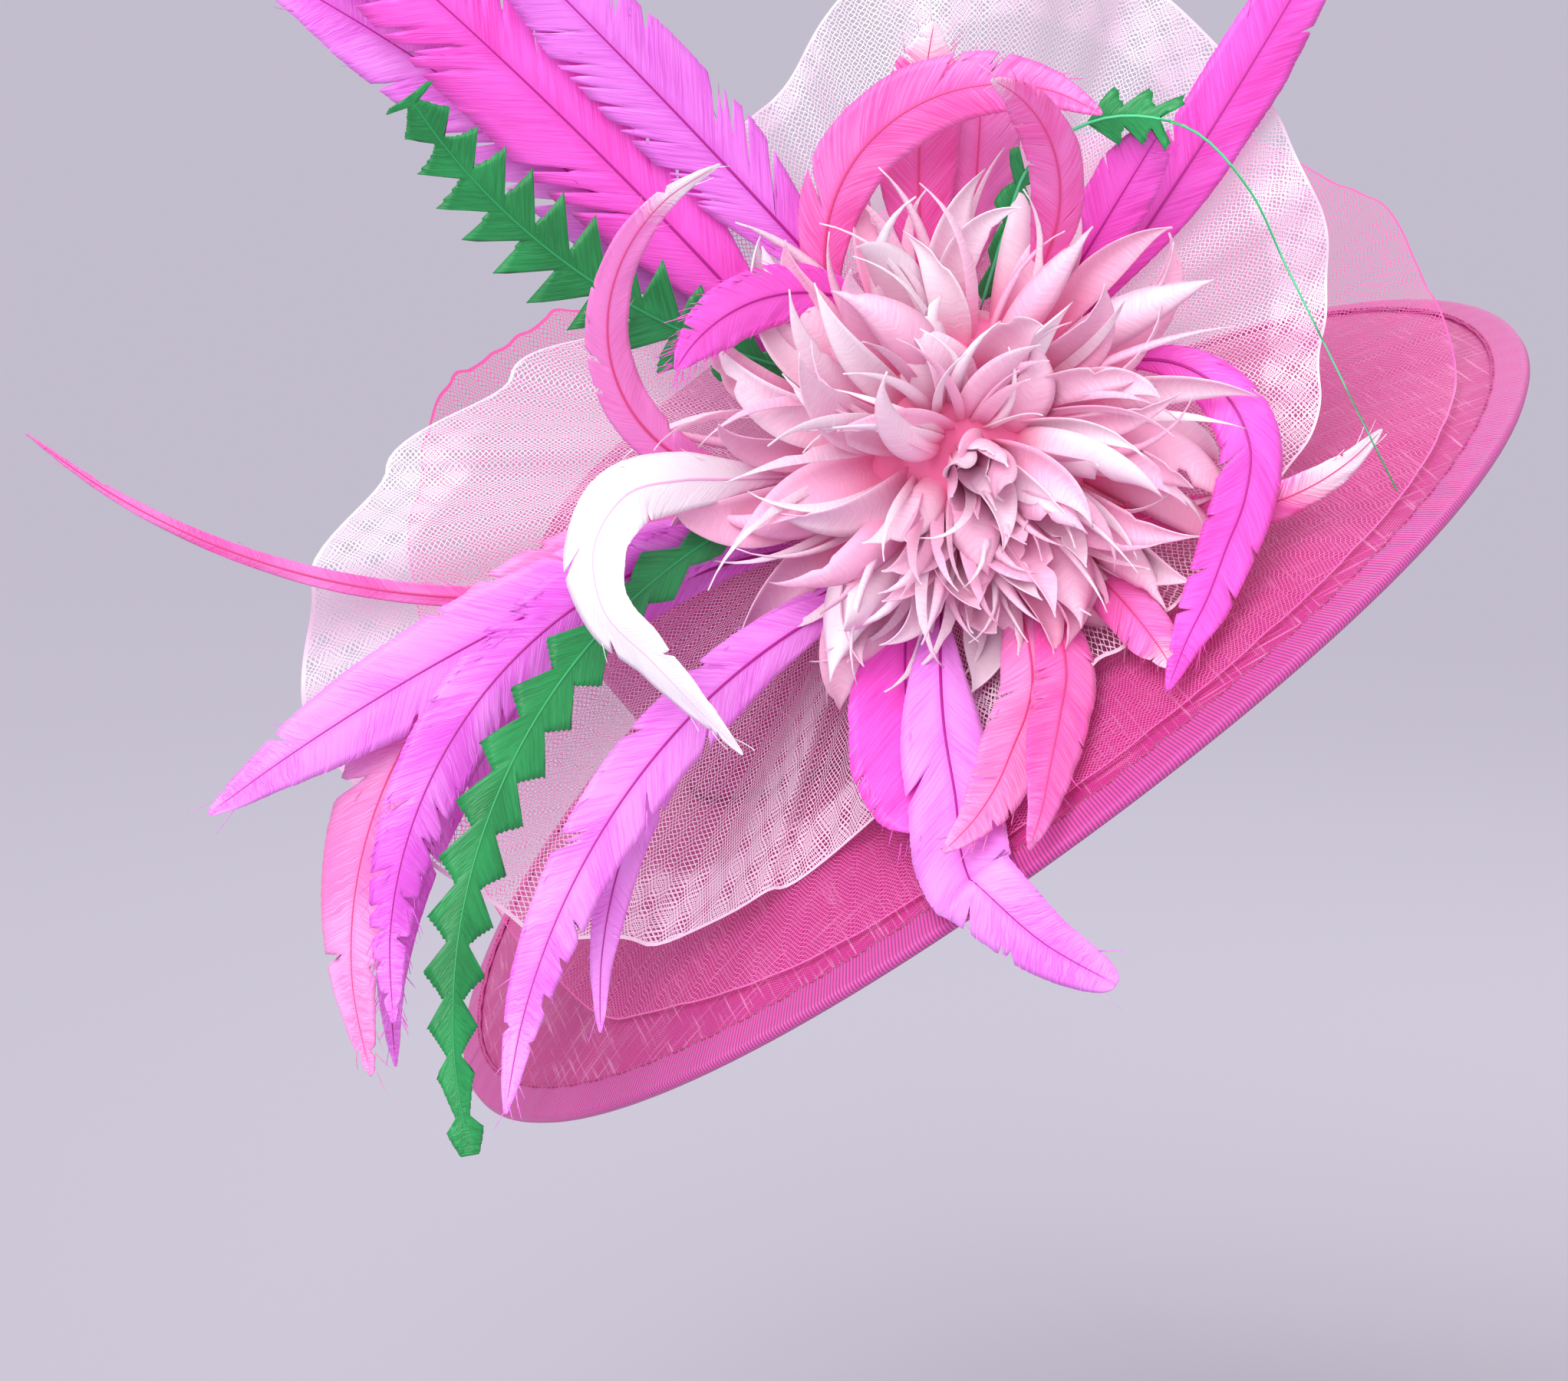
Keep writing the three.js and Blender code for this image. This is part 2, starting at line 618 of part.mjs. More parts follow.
// The flower's frame stands on the near side of the crown, a net's thickness off its wall
const trim = new THREE.Group();
trim.position.set(flowerAlong, -flowerOut, flowerUp);
trim.rotation.x = Math.PI / 2;
trim.add(piece("flower_frill", flowerFrill(), netPale));
trim.add(piece("feather_flower", flower(), petalPink));
for (const row of featherRows) {
  trim.add(piece(`feather_${row.name}`, longFeather(row), row.dye));
}
for (const row of greenRows) {
  trim.add(piece(`feather_${row.name}`, toothedFeather(row), row.dye));
}
hat.add(trim);

const fascinator = new THREE.Group();
fascinator.add(hat);

export default fascinator;
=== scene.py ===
# Wide-brimmed fascinator hat in hot pink: sinamay crown and brim, grosgrain edge, two crinoline
# frills, a feather flower and long dyed feathers round it. Metres, +Z up as the hat is worn.
import bpy
import bmesh
import json
import math
import random
from mathutils import Matrix, Vector, noise


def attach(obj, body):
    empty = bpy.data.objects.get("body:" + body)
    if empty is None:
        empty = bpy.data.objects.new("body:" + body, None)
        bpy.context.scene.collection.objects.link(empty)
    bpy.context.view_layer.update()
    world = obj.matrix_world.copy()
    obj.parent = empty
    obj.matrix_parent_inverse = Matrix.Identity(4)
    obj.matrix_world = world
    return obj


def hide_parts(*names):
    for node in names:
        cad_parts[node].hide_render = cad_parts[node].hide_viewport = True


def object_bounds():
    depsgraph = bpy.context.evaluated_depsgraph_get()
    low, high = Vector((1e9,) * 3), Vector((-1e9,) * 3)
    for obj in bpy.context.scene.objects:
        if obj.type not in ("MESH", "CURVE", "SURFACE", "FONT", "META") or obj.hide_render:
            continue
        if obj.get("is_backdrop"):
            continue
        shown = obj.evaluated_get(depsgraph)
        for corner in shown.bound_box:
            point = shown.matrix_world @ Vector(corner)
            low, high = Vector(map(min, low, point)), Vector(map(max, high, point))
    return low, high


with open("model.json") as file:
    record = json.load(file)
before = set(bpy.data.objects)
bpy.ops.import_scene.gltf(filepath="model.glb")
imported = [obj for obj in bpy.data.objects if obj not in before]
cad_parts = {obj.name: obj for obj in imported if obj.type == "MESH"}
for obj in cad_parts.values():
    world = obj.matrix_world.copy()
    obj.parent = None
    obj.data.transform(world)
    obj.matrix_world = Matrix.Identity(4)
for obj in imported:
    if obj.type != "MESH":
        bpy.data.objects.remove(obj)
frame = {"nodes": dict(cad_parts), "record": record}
cadLow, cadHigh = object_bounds()
rad = math.radians
print("frame loaded,", len(frame["nodes"]), "nodes")

worn = {"sideTilt": -34, "nod": 11, "turn": 11}   # degrees
crown = {"length": 0.208, "width": 0.172, "height": 0.114, "flare": 0.005, "corner": 0.022,
         "dome": 0.006, "wall": 0.0018, "columns": 160, "rows": 40}
brim = {"length": 0.464, "width": 0.432, "drop": 0.025, "saddle": 0.009, "sway": 0.004, "roll": 1.7,
        "wall": 0.0016, "columns": 240, "rows": 28}
binding = {"width": 0.012, "wall": 0.001, "columns": 540, "pucker": 0.0002}
stitch = {"spacing": 0.0036, "length": 0.0024, "thickness": 0.0004, "fromEdge": 0.0112}
fit = {"gap": 0.0003, "netWall": 0.001, "netLift": 0.002}
brimNet = {"reach": 0.93, "rise": 0.160, "swell": 0.016, "columns": 420, "rows": 26, "ripple": 0.0012}
flowerNet = {"reach": 0.235, "depth": 0.064, "wave": 0.002, "hole": 0.012, "fall": 2, "columns": 480,
             "rows": 40, "ripple": 0.0012}
net = {"pitch": 0.0020, "pinkThread": 0.19, "paleThread": 0.2}   # threads as shares of the pitch
flower = {"along": 0.040, "up": 0.079, "radius": 0.044, "depth": 0.019, "dome": 0.020}
petal = {"length": 0.062, "width": 0.030, "wall": 0.0004, "stretch": 0.14, "lean": 36, "brimStand": 30}
feather = {"length": 0.300, "width": 0.044, "wall": 0.0016, "quillWidth": 0.003, "quillDepth": 0.0021,
           "level": 0.0026, "lift": 0.005, "steps": 9, "columns": 200, "rows": 10, "slant": 1.25,
           "vaneWall": 0.00025}
colours = {
    # the pale sinamay colour serves the pale slubs and the painted highlights on the weave
    "sinamay": "#EC3EA6", "sinamayDeep": "#A8126C", "sinamaySlubAndHighlight": "#FAB0E0",
    # the deep grosgrain colour is painted shade in the hollows between the ribs
    "grosgrain": "#EE52AC", "grosgrainRibShade": "#A23A92", "thread": "#C8387E",
    "brimNet": "#FA6CBC", "flowerNet": "#FFE2F5",
    # the palest petal colour is partly paler tone and partly painted highlight
    "petalDeep": "#FF6CAC", "petal": "#FFBADC", "petalPaleAndHighlight": "#FFEDF7",
    # the lighter feather colours are partly random tone and partly painted highlight
    "magenta": "#EE30B8", "magentaToneAndHighlight": "#FF62E0",
    "magentaMid": "#D84CD0", "magentaMidToneAndHighlight": "#F884F4",
    "lightMagenta": "#EC58E4", "lightMagentaToneAndHighlight": "#FF9CFF",
    "coral": "#FF50B4", "coralToneAndHighlight": "#FF8CDA",
    "coralPale": "#FF7CC8", "coralPaleToneAndHighlight": "#FFB0EC",
    # white: pale feather tips, partly their own colour and partly painted sheen
    "white": "#FFF6FD", "green": "#067A38", "greenToneAndHighlight": "#1E9E52", "greenTip": "#58C890",
    "tuft": "#F03A72",
}


def table(columns, *rows):
    names = columns.split()
    return [dict(zip(names, row)) for row in rows]


# Outer edge of the frill on the brim, round the crown from the right end; shares of brimNet's sizes
brimNetRows = table(
    "turn reach rise swell",
    (-180, 0.86, 0.24, 0.3), (-164, 0.88, 0.08, 0.2), (-145, 0.93, 0, 0.1), (-110, 0.985, 0, 0.06),
    (-50, 0.985, 0, 0.06), (-22, 0.98, 0.01, 0.1), (-6, 1, 0.12, 0.4), (12, 1.07, 0.3, 0.9),
    (30, 1.07, 0.52, 1), (50, 0.98, 0.66, 0.9), (72, 0.82, 0.66, 0.5), (92, 0.7, 0.78, 0.4),
    (112, 0.64, 0.94, 0.6), (134, 0.64, 0.98, 1), (152, 0.69, 0.84, 1), (166, 0.79, 0.54, 0.6),
    (180, 0.86, 0.24, 0.3))

# Outer edge of the frill round the flower, from the right along the brim; shares of flowerNet's sizes
flowerNetRows = table(
    "turn reach out",
    (-180, 0.96, 0.3), (-168, 0.92, 0.46), (-158, 0.84, 0.44), (-149, 0.67, 0.62), (-138, 0.47, 0.97),
    (-118, 0.355, 1.06), (-97, 0.32, 1), (-76, 0.33, 0.92), (-54, 0.395, 0.66), (-28, 0.54, 0.14),
    (-3, 0.63, -0.05), (14, 0.67, -0.3), (31, 0.7, -0.5), (46, 0.71, -0.1), (63, 0.64, -0.5),
    (84, 0.53, -0.3), (124, 0.46, -0.36), (138, 0.62, -0.46), (148, 0.8, -0.2), (156, 0.93, 0.08),
    (168, 1, 0.04), (180, 0.96, 0.3))

# Where the flower's frill lies double: turned edges from their share outwards, and radial folds
flowerNetLips = table(
    "start end share", (-40, 66, 0.84), (-170, -96, 0.86), (140, 180, 0.84), (66, 118, 0.93))
flowerNetFolds = table("turn spread", (58, 3), (96, 2.2), (-136, 3), (-118, 2.4), (-152, 2), (166, 3))

# Rings of petals from the outermost inwards: angle out of the flower's plane, start on its base,
# length and width as shares of the petal's, curl at the tip in degrees
petalRings = table(
    "count stand start length width curl",
    (16, 12, 0.86, 1.0, 1.2, -6), (16, 26, 0.76, 1.04, 1.15, -14), (15, 38, 0.62, 1.04, 1.1, -22),
    (13, 50, 0.48, 1.0, 1.05, -32), (11, 60, 0.34, 0.94, 1.0, -44), (9, 70, 0.2, 0.88, 1.0, -62),
    (7, 80, 0.1, 0.74, 0.9, -10))

# Long feathers. at: where the quill meets the flower's base; aim, bend: its first direction and how
# far it turns, between the shares start and end; lean, rise: its angle out of the flower's plane and
# how far that changes; pale, paleEnd: shares between which it turns white, partly a pale tip and partly
# painted sheen; slits, fray: cuts in its edges and loose barbs
featherRows = table(
    "name dye at aim bend start end length width lean rise twist level pale paleEnd slits fray",
    ("tall_magenta", "magenta", 126, 96, 10, 0, 1, 0.85, 1.0, 3, -4, 10, 1, 2, 3, 20, 40),
    ("tall_light_magenta", "lightMagenta", 140, 94, 26, 0, 1, 0.84, 0.9, -1, -3, 12, 0, 2, 3, 18, 40),
    ("upright_magenta", "magentaMid", 90, 97, 4, 0, 1, 0.66, 0.8, 5, -4, -12, 2, 2, 3, 34, 60),
    ("left_coral_curl", "coral", 152, 154, -172, 0, 1, 0.62, 0.36, 20, 0, 20, 4, 0.74, 0.98, 5, 12),
    ("top_magenta_curl", "magenta", 82, 110, 90, 0, 1, 0.34, 0.5, 14, 30, 0, 6, 2, 3, 6, 160),
    ("coral_arch", "coral", 101, 88, -165, 0, 1, 0.54, 0.6, 11, 10, 0, 4, 0.8, 1.3, 4, 20),
    ("coral_upright", "coral", 66, 66, -20, 0, 1, 0.33, 0.66, 8, 4, 0, 2, 0.66, 1.0, 5, 30),
    ("coral_broad", "coral", 52, 48, 10, 0, 1, 0.27, 0.8, 8, 0, 8, 0, 2, 3, 4, 20),
    ("coral_curl", "coral", 36, 22, 105, 0, 1, 0.4, 0.46, 28, 10, 0, 5, 0.7, 1.2, 4, 20),
    ("oval_magenta", "magenta", 17, 28, 0, 0, 1, 0.27, 0.56, 10, 6, 0, 3, 2, 3, 3, 12),
    ("long_magenta_right", "magenta", 2, 20, 6, 0, 1, 0.66, 0.68, 0, -6, 0, 1, 2, 3, 4, 20),
    ("right_magenta_curve", "magenta", -14, 5, -162, 0, 0.5, 0.58, 0.5, 30, 6, 20, 2, 2, 3, 10, 30),
    ("right_coral_fork", "coral", -56, -56, 84, 0, 1, 0.4, 0.34, 43, -24, 0, 1, 0.45, 0.9, 2, 8),
    ("lower_coral_curl", "coral", -80, -66, -40, 0, 1, 0.32, 0.44, 66, -6, 0, 1, 0.5, 1.2, 5, 20),
    ("broad_magenta_down", "magenta", -141, -149, 40, 0, 1, 0.36, 1.1, 46, 10, 0, 3, 2, 3, 10, 30),
    ("coral_twist_down", "coralPale", -104, -109, -84, 0, 1, 0.5, 0.56, 73, -42, 30, 1, 2, 3, 8, 24),
    ("coral_dart_down", "coral", -92, -108, -60, 0, 1, 0.52, 0.5, 67, -20, 0, 2, 0.7, 1.5, 8, 20),
    ("light_magenta_under", "lightMagenta", -126, -157, 104, 0, 1, 0.8, 0.8, 66, -60, 0, 0, 2, 3, 8, 24),
    ("white_pink_twist", "coralPale", 158, 138, 142, 0.3, 0.65, 0.64, 0.56, 32, -4, 50, 4, -0.1, 0.3, 6, 16),
    ("left_magenta", "lightMagenta", 168, 158, 24, 0, 1, 0.78, 0.8, 14, -10, 16, 2, 2, 3, 10, 24),
    ("left_thin_pink", "coral", 176, 168, -70, 0, 1, 0.96, 0.18, 5, 4, 0, 0, 2, 3, 1, 6),
    ("left_coral_droop", "coralPale", -176, 138, 120, 0, 1, 0.97, 0.8, 10, -4, 20, 1, 2, 3, 14, 24),
    ("left_magenta_ragged", "lightMagenta", -170, 136, 112, 0, 1, 0.87, 0.62, 18, -8, 0, 3, 2, 3, 40, 260),
    ("left_magenta_droop", "lightMagenta", -163, 146, 102, 0, 1, 0.9, 0.5, 7, -6, 0, 1, 2, 3, 12, 30),
    ("lower_light_magenta", "lightMagenta", -134, 152, 78, 0, 1, 0.86, 0.6, 34, -14, 10, 1, 2, 3, 12, 30),
    ("lower_light_fork", "lightMagenta", -152, 160, 80, 0, 1, 0.68, 0.4, 26, -4, 0, 3, 2, 3, 8, 24),
    ("green_left_up", "green", 116, 131, -46, 0, 1, 0.6, 0.8, 6, 6, 0, 2, 2, 3, 0, 0),
    ("green_right_arch", "green", 44, 42, -142, 0.1, 0.5, 0.82, 0.24, 14, 6, 0, 2, 2, 3, 0, 0),
    ("green_left_down", "green", 163, 159, 94, 0, 1, 0.93, 0.54, 24, -8, 0, 3, 0.7, 2.4, 0, 0))

# Teeth of the green feathers: shares of the length between which they stay, pitch in metres, width left
# in the valleys, slope of the cut along the barbs, and width of that stretch
teeth = table(
    "name low high pitch valley slant wide",
    ("green_left_up", 0.06, 1.0, 0.0150, 0.2, 1.0, 1.05),
    ("green_right_arch", 0.02, 0.2, 0.0130, 0.2, 1.0, 2.2),
    ("green_right_arch", 0.31, 0.4, 0.0090, 0.3, 1.0, 1.9),
    ("green_left_down", 0.06, 1.0, 0.0190, 0.34, 1.5, 1.05))

# Feathers with a round tip
blunt = ("light_magenta_under", "oval_magenta", "broad_magenta_down", "tall_magenta", "upright_magenta")

flowerOut = ((crown["length"] / 2 + crown["flare"]) * crown["width"] / crown["length"]
             + fit["gap"] + fit["netWall"] / 2)
hatPlace = (Matrix.Rotation(rad(worn["nod"]), 4, "X") @ Matrix.Rotation(rad(worn["sideTilt"]), 4, "Y")
            @ Matrix.Rotation(rad(worn["turn"]), 4, "Z"))
flowerPlace = (hatPlace @ Matrix.Translation((flower["along"], -flowerOut, flower["up"]))
               @ Matrix.Rotation(rad(90), 4, "X"))


def linear(code, alpha=1.0):   # sRGB hex to the linear colour that nodes take
    parts = [int(code[i:i + 2], 16) / 255 for i in (1, 3, 5)]
    return (*[p / 12.92 if p <= 0.04045 else ((p + 0.055) / 1.055) ** 2.4 for p in parts], alpha)


def addNode(tree, kind, values={}, links={}, **settings):
    node = tree.nodes.new(kind)
    for key, value in settings.items():
        setattr(node, key, value)
    for key, value in values.items():
        node.inputs[key].default_value = value
    for key, source in links.items():
        tree.links.new(source, node.inputs[key])
    return node


def newMaterial(name, **values):
    material = bpy.data.materials.new(name)
    material.use_nodes = True
    tree = material.node_tree
    tree.nodes.clear()
    sockets = {key.replace("_", " "): value for key, value in values.items()}
    shader = addNode(tree, "ShaderNodeBsdfPrincipled", sockets)
    addNode(tree, "ShaderNodeOutputMaterial", links={"Surface": shader.outputs[0]})
    return material, tree, shader


def compute(tree, operation, first, second=None):   # one math node on sockets or numbers
    node = addNode(tree, "ShaderNodeMath", operation=operation)
    for socket, source in zip(node.inputs, (first, second)):
        if isinstance(source, (int, float)):
            socket.default_value = source
        elif source is not None:
            tree.links.new(source, socket)
    return node.outputs[0]


def smoothStep(tree, source, low, high, out=(0, 1)):
    node = addNode(tree, "ShaderNodeMapRange", {1: low, 2: high, 3: out[0], 4: out[1]}, {0: source},
                   interpolation_type="SMOOTHSTEP")
    return node.outputs[0]


def blend(tree, share, first, second):   # colours, or sockets that carry them
    node = addNode(tree, "ShaderNodeMix", data_type="RGBA")
    for socket, source in ((node.inputs[0], share), (node.inputs[6], first), (node.inputs[7], second)):
        if isinstance(source, (int, float)):
            socket.default_value = source
        elif isinstance(source, str):
            socket.default_value = linear(source)
        else:
            tree.links.new(source, socket)
    return node.outputs[2]


def streaks(tree, acrossScale, alongScale, detail=3.0):   # noise drawn out along one way
    place = addNode(tree, "ShaderNodeUVMap").outputs[0]
    scaled = addNode(tree, "ShaderNodeMapping", {"Scale": (acrossScale, alongScale, 1)}, {0: place})
    spots = addNode(tree, "ShaderNodeTexNoise", {"Scale": 1.0, "Detail": detail},
                    {"Vector": scaled.outputs[0]})
    return spots.outputs[0]


def toneParts(tree):
    tone = addNode(tree, "ShaderNodeAttribute", attribute_name="tone")
    parts = addNode(tree, "ShaderNodeSeparateColor", links={0: tone.outputs["Color"]})
    return [*parts.outputs, tone.outputs["Alpha"]]


def addBump(tree, shader, height, distance, strength=0.6):
    bump = addNode(tree, "ShaderNodeBump", {"Distance": distance, "Strength": strength}, {"Height": height})
    tree.links.new(bump.outputs[0], shader.inputs["Normal"])


# Sinamay: plain weave of abaca threads, with pale slubs both ways and painted highlights where threads cross
def sinamayMaterial(pitch=0.0014):
    material, tree, shader = newMaterial("sinamay", Roughness=0.45, Sheen_Weight=0.1)
    parts = addNode(tree, "ShaderNodeSeparateXYZ", links={0: addNode(tree, "ShaderNodeUVMap").outputs[0]})
    ways = [compute(tree, "SINE", compute(tree, "MULTIPLY", axis, 2 * math.pi / pitch))
            for axis in parts.outputs[:2]]
    weave = compute(tree, "ADD", compute(tree, "MULTIPLY", compute(tree, "MULTIPLY", *ways), 0.5), 0.5)
    slubs = compute(tree, "MAXIMUM", streaks(tree, 30, 900), streaks(tree, 900, 30))
    patches = streaks(tree, 60, 60)
    colour = blend(tree, weave, colours["sinamayDeep"], colours["sinamay"])
    colour = blend(tree, smoothStep(tree, slubs, 0.56, 0.72, (0, 0.6)), colour, colours["sinamaySlubAndHighlight"])
    # painted highlight: pale flecks on the weave's high points, in patches
    paintedHighlight = compute(tree, "MULTIPLY", smoothStep(tree, weave, 0.7, 0.95),
                 smoothStep(tree, patches, 0.5, 0.7, (0, 0.8)))
    colour = blend(tree, paintedHighlight, colour, colours["sinamaySlubAndHighlight"])
    tree.links.new(colour, shader.inputs["Base Color"])
    addBump(tree, shader, compute(tree, "ADD", weave, slubs), 0.0005, 0.5)
    return material


# Grosgrain: cross ribs 1.3 mm apart, with painted purple shade between them
def grosgrainMaterial(pitch=0.0013):
    material, tree, shader = newMaterial("grosgrain", Roughness=0.42, Sheen_Weight=0.15)
    parts = addNode(tree, "ShaderNodeSeparateXYZ", links={0: addNode(tree, "ShaderNodeUVMap").outputs[0]})
    ribs = compute(tree, "SINE", compute(tree, "MULTIPLY", parts.outputs[0], 2 * math.pi / pitch))
    ribs = compute(tree, "ADD", compute(tree, "MULTIPLY", ribs, 0.5), 0.5)
    # painted shade: darker purple in the hollows between the ribs
    colour = blend(tree, smoothStep(tree, ribs, 0.0, 0.7), colours["grosgrainRibShade"], colours["grosgrain"])
    tree.links.new(colour, shader.inputs["Base Color"])
    addBump(tree, shader, ribs, 0.0004, 0.7)
    return material


# Crinoline: two families of nylon threads that cross in a diamond mesh, two more where the net lies
# double in a fold or a turned edge, and a solid edge thread
def netMaterial(name, colour, pitch, thread):
    material, tree, shader = newMaterial(name, Roughness=0.35, Sheen_Weight=0.1)
    shader.inputs["Base Color"].default_value = linear(colour)
    parts = addNode(tree, "ShaderNodeSeparateXYZ", links={0: addNode(tree, "ShaderNodeUVMap").outputs[0]})
    tone = toneParts(tree)
    layers = []
    for grow, shift in ((1, 0), (1.13, 0.3)):
        threads = []
        for operation in ("ADD", "SUBTRACT"):
            slanted = compute(tree, operation, parts.outputs[0], parts.outputs[1])
            phase = compute(tree, "MULTIPLY", slanted, grow / pitch)
            wave = compute(tree, "PINGPONG", compute(tree, "ADD", phase, shift), 0.5)
            threads.append(smoothStep(tree, wave, 0.5 - thread * 0.62, 0.5 - thread * 0.38))
        layers.append(compute(tree, "MAXIMUM", *threads))
    double = compute(tree, "MULTIPLY", layers[1], tone[2])
    edge = smoothStep(tree, tone[1], 0.992, 0.994)
    mesh = compute(tree, "MAXIMUM", layers[0], double)
    tree.links.new(compute(tree, "MAXIMUM", mesh, edge), shader.inputs["Alpha"])
    return material


# Dyed coque feather: barbs as fine streaks, lighter patches that are partly random tone and partly painted
# highlight, darker beside the quill, white where the tone says so, partly a pale tip and partly painted
# sheen
def featherMaterial(name, deep, light, pale=None):
    material, tree, shader = newMaterial(name, Roughness=0.36, Sheen_Weight=0.2)
    _, across, shift, paleTipAndSheen = toneParts(tree)
    barbs = streaks(tree, 60, 1300)
    patches = streaks(tree, 22, 26, 2)
    mixed = compute(tree, "ADD", compute(tree, "MULTIPLY", barbs, 0.45),
                    compute(tree, "MULTIPLY", patches, 0.55))
    mixed = compute(tree, "ADD", mixed, compute(tree, "MULTIPLY", shift, 0.16))
    # lighter patches: partly random tone, partly painted highlight
    colour = blend(tree, smoothStep(tree, mixed, 0.4, 0.68), deep, light)
    colour = blend(tree, smoothStep(tree, across, 0.0, 0.22, (0.4, 0.0)), colour, deep)
    # white: partly the feather's own pale tip, partly painted sheen
    white = smoothStep(tree, compute(tree, "ADD", paleTipAndSheen, compute(tree, "MULTIPLY", barbs, 0.5)), 0.55, 1.05)
    colour = blend(tree, white, colour, pale or colours["white"])
    tree.links.new(colour, shader.inputs["Base Color"])
    addBump(tree, shader, barbs, 0.0006, 0.5)
    return material


# Goose petal feathers: pale pink with white places, partly paler tone and partly painted highlight,
# and deep pink towards the flower's heart
def petalMaterial():
    material, tree, shader = newMaterial("goose_feather", Roughness=0.5, Sheen_Weight=0.1)
    along, _, shift, _ = toneParts(tree)
    barbs = streaks(tree, 70, 900)
    mixed = compute(tree, "ADD", compute(tree, "MULTIPLY", barbs, 0.4),
                    compute(tree, "MULTIPLY", along, 0.25))
    mixed = compute(tree, "ADD", mixed, compute(tree, "MULTIPLY", shift, 0.4))
    # white places: partly paler tone towards the tips, partly painted highlight
    colour = blend(tree, smoothStep(tree, mixed, 0.3, 0.8), colours["petal"], colours["petalPaleAndHighlight"])
    colour = blend(tree, smoothStep(tree, along, 0.0, 0.45, (0.8, 0.0)), colour, colours["petalDeep"])
    tree.links.new(colour, shader.inputs["Base Color"])
    addBump(tree, shader, barbs, 0.0005, 0.35)
    return material


def plainMaterial(name, code, roughness):
    material, _, shader = newMaterial(name, Roughness=roughness)
    shader.inputs["Base Color"].default_value = linear(code)
    return material


materials = {
    "sinamay": sinamayMaterial(),
    "grosgrain": grosgrainMaterial(),
    "thread": plainMaterial("cotton_thread", colours["thread"], 0.6),
    "brimNet": netMaterial("pink_crinoline", colours["brimNet"], net["pitch"], net["pinkThread"]),
    "flowerNet": netMaterial("pale_crinoline", colours["flowerNet"], net["pitch"], net["paleThread"]),
    "petal": petalMaterial(),
    "magenta": featherMaterial("magenta_coque_feather", colours["magenta"], colours["magentaToneAndHighlight"]),
    "lightMagenta": featherMaterial("light_magenta_coque_feather", colours["lightMagenta"],
                                    colours["lightMagentaToneAndHighlight"]),
    "coral": featherMaterial("coral_coque_feather", colours["coral"], colours["coralToneAndHighlight"]),
    "coralPale": featherMaterial("pale_coral_coque_feather", colours["coralPale"],
                                 colours["coralPaleToneAndHighlight"]),
    "magentaMid": featherMaterial("violet_magenta_coque_feather", colours["magentaMid"],
                                  colours["magentaMidToneAndHighlight"]),
    "green": featherMaterial("green_coque_feather", colours["green"], colours["greenToneAndHighlight"],
                             colours["greenTip"]),
    "tuft": plainMaterial("coral_down", colours["tuft"], 0.6),
    "magentaQuill": plainMaterial("magenta_quill", "#B81C94", 0.4),
    "coralQuill": plainMaterial("coral_quill", "#E8508E", 0.4),
    "greenQuill": plainMaterial("green_quill", "#2BAA62", 0.4),
    "paleQuill": plainMaterial("light_green_quill", "#58E09A", 0.4),
    "whiteQuill": plainMaterial("white_quill", "#FFC8EC", 0.4),
}
slotOf = {row["node"]: row["material_slot"] for row in frame["record"]["subparts"]}
quills = {"magenta": "magentaQuill", "magentaMid": "magentaQuill", "lightMagenta": "magentaQuill",
          "coral": "coralQuill", "coralPale": "coralQuill", "green": "greenQuill"}
print("materials made")


# Grid whose places, UVs and tones come from functions of two shares, across and along
def movedGrid(bm, columns, rows, placeAt, uvAt, toneAt=None, slot=0):
    uvLayer = bm.loops.layers.uv.verify()
    toneLayer = bm.verts.layers.float_color.get("tone") or bm.verts.layers.float_color.new("tone")
    made = bmesh.ops.create_grid(bm, x_segments=columns, y_segments=rows, size=0.5)["verts"]
    spots = {v: (min(1, max(0, v.co.x + 0.5)), min(1, max(0, v.co.y + 0.5))) for v in made}
    for v, (across, along) in spots.items():
        v.co = placeAt(across, along)
        if toneAt:
            v[toneLayer] = toneAt(across, along)
    for face in {f for v in made for f in v.link_faces}:
        face.material_index = slot
        face.smooth = True
        for loop in face.loops:
            loop[uvLayer].uv = uvAt(*spots[loop.vert])
    return made


def finishPiece(bm, name, nodes, slotName, materialNames, place, merge=1e-6, wall=0, offset=0):
    if merge:
        bmesh.ops.remove_doubles(bm, verts=bm.verts, dist=merge)
    bmesh.ops.transform(bm, matrix=place, verts=bm.verts)
    mesh = bpy.data.meshes.new(name)
    bm.to_mesh(mesh)
    bm.free()
    piece = bpy.data.objects.new(name, mesh)
    bpy.context.scene.collection.objects.link(piece)
    for key in materialNames:
        mesh.materials.append(materials[key])
    if wall:
        thick = piece.modifiers.new("wall", "SOLIDIFY")
        thick.thickness = wall
        thick.offset = offset
    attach(piece, "root")
    if nodes:
        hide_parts(*nodes)
    return piece


def readRows(rows, column, turn):   # a column of a table at a turn, eased between its rows
    wrapped = (turn + 180) % 360 - 180
    i = 0
    while i < len(rows) - 2 and rows[i + 1]["turn"] < wrapped:
        i += 1
    share = (wrapped - rows[i]["turn"]) / (rows[i + 1]["turn"] - rows[i]["turn"])
    eased = share * share * (3 - 2 * share)
    return rows[i][column] + (rows[i + 1][column] - rows[i][column]) * eased


# Crown: straight sides that lean out a little, a rounded corner and a slightly domed top
def crownSide(height):
    straight = crown["height"] - crown["dome"] - crown["corner"]
    return crown["length"] / 2 + crown["flare"] * min(1, max(0, height / straight))


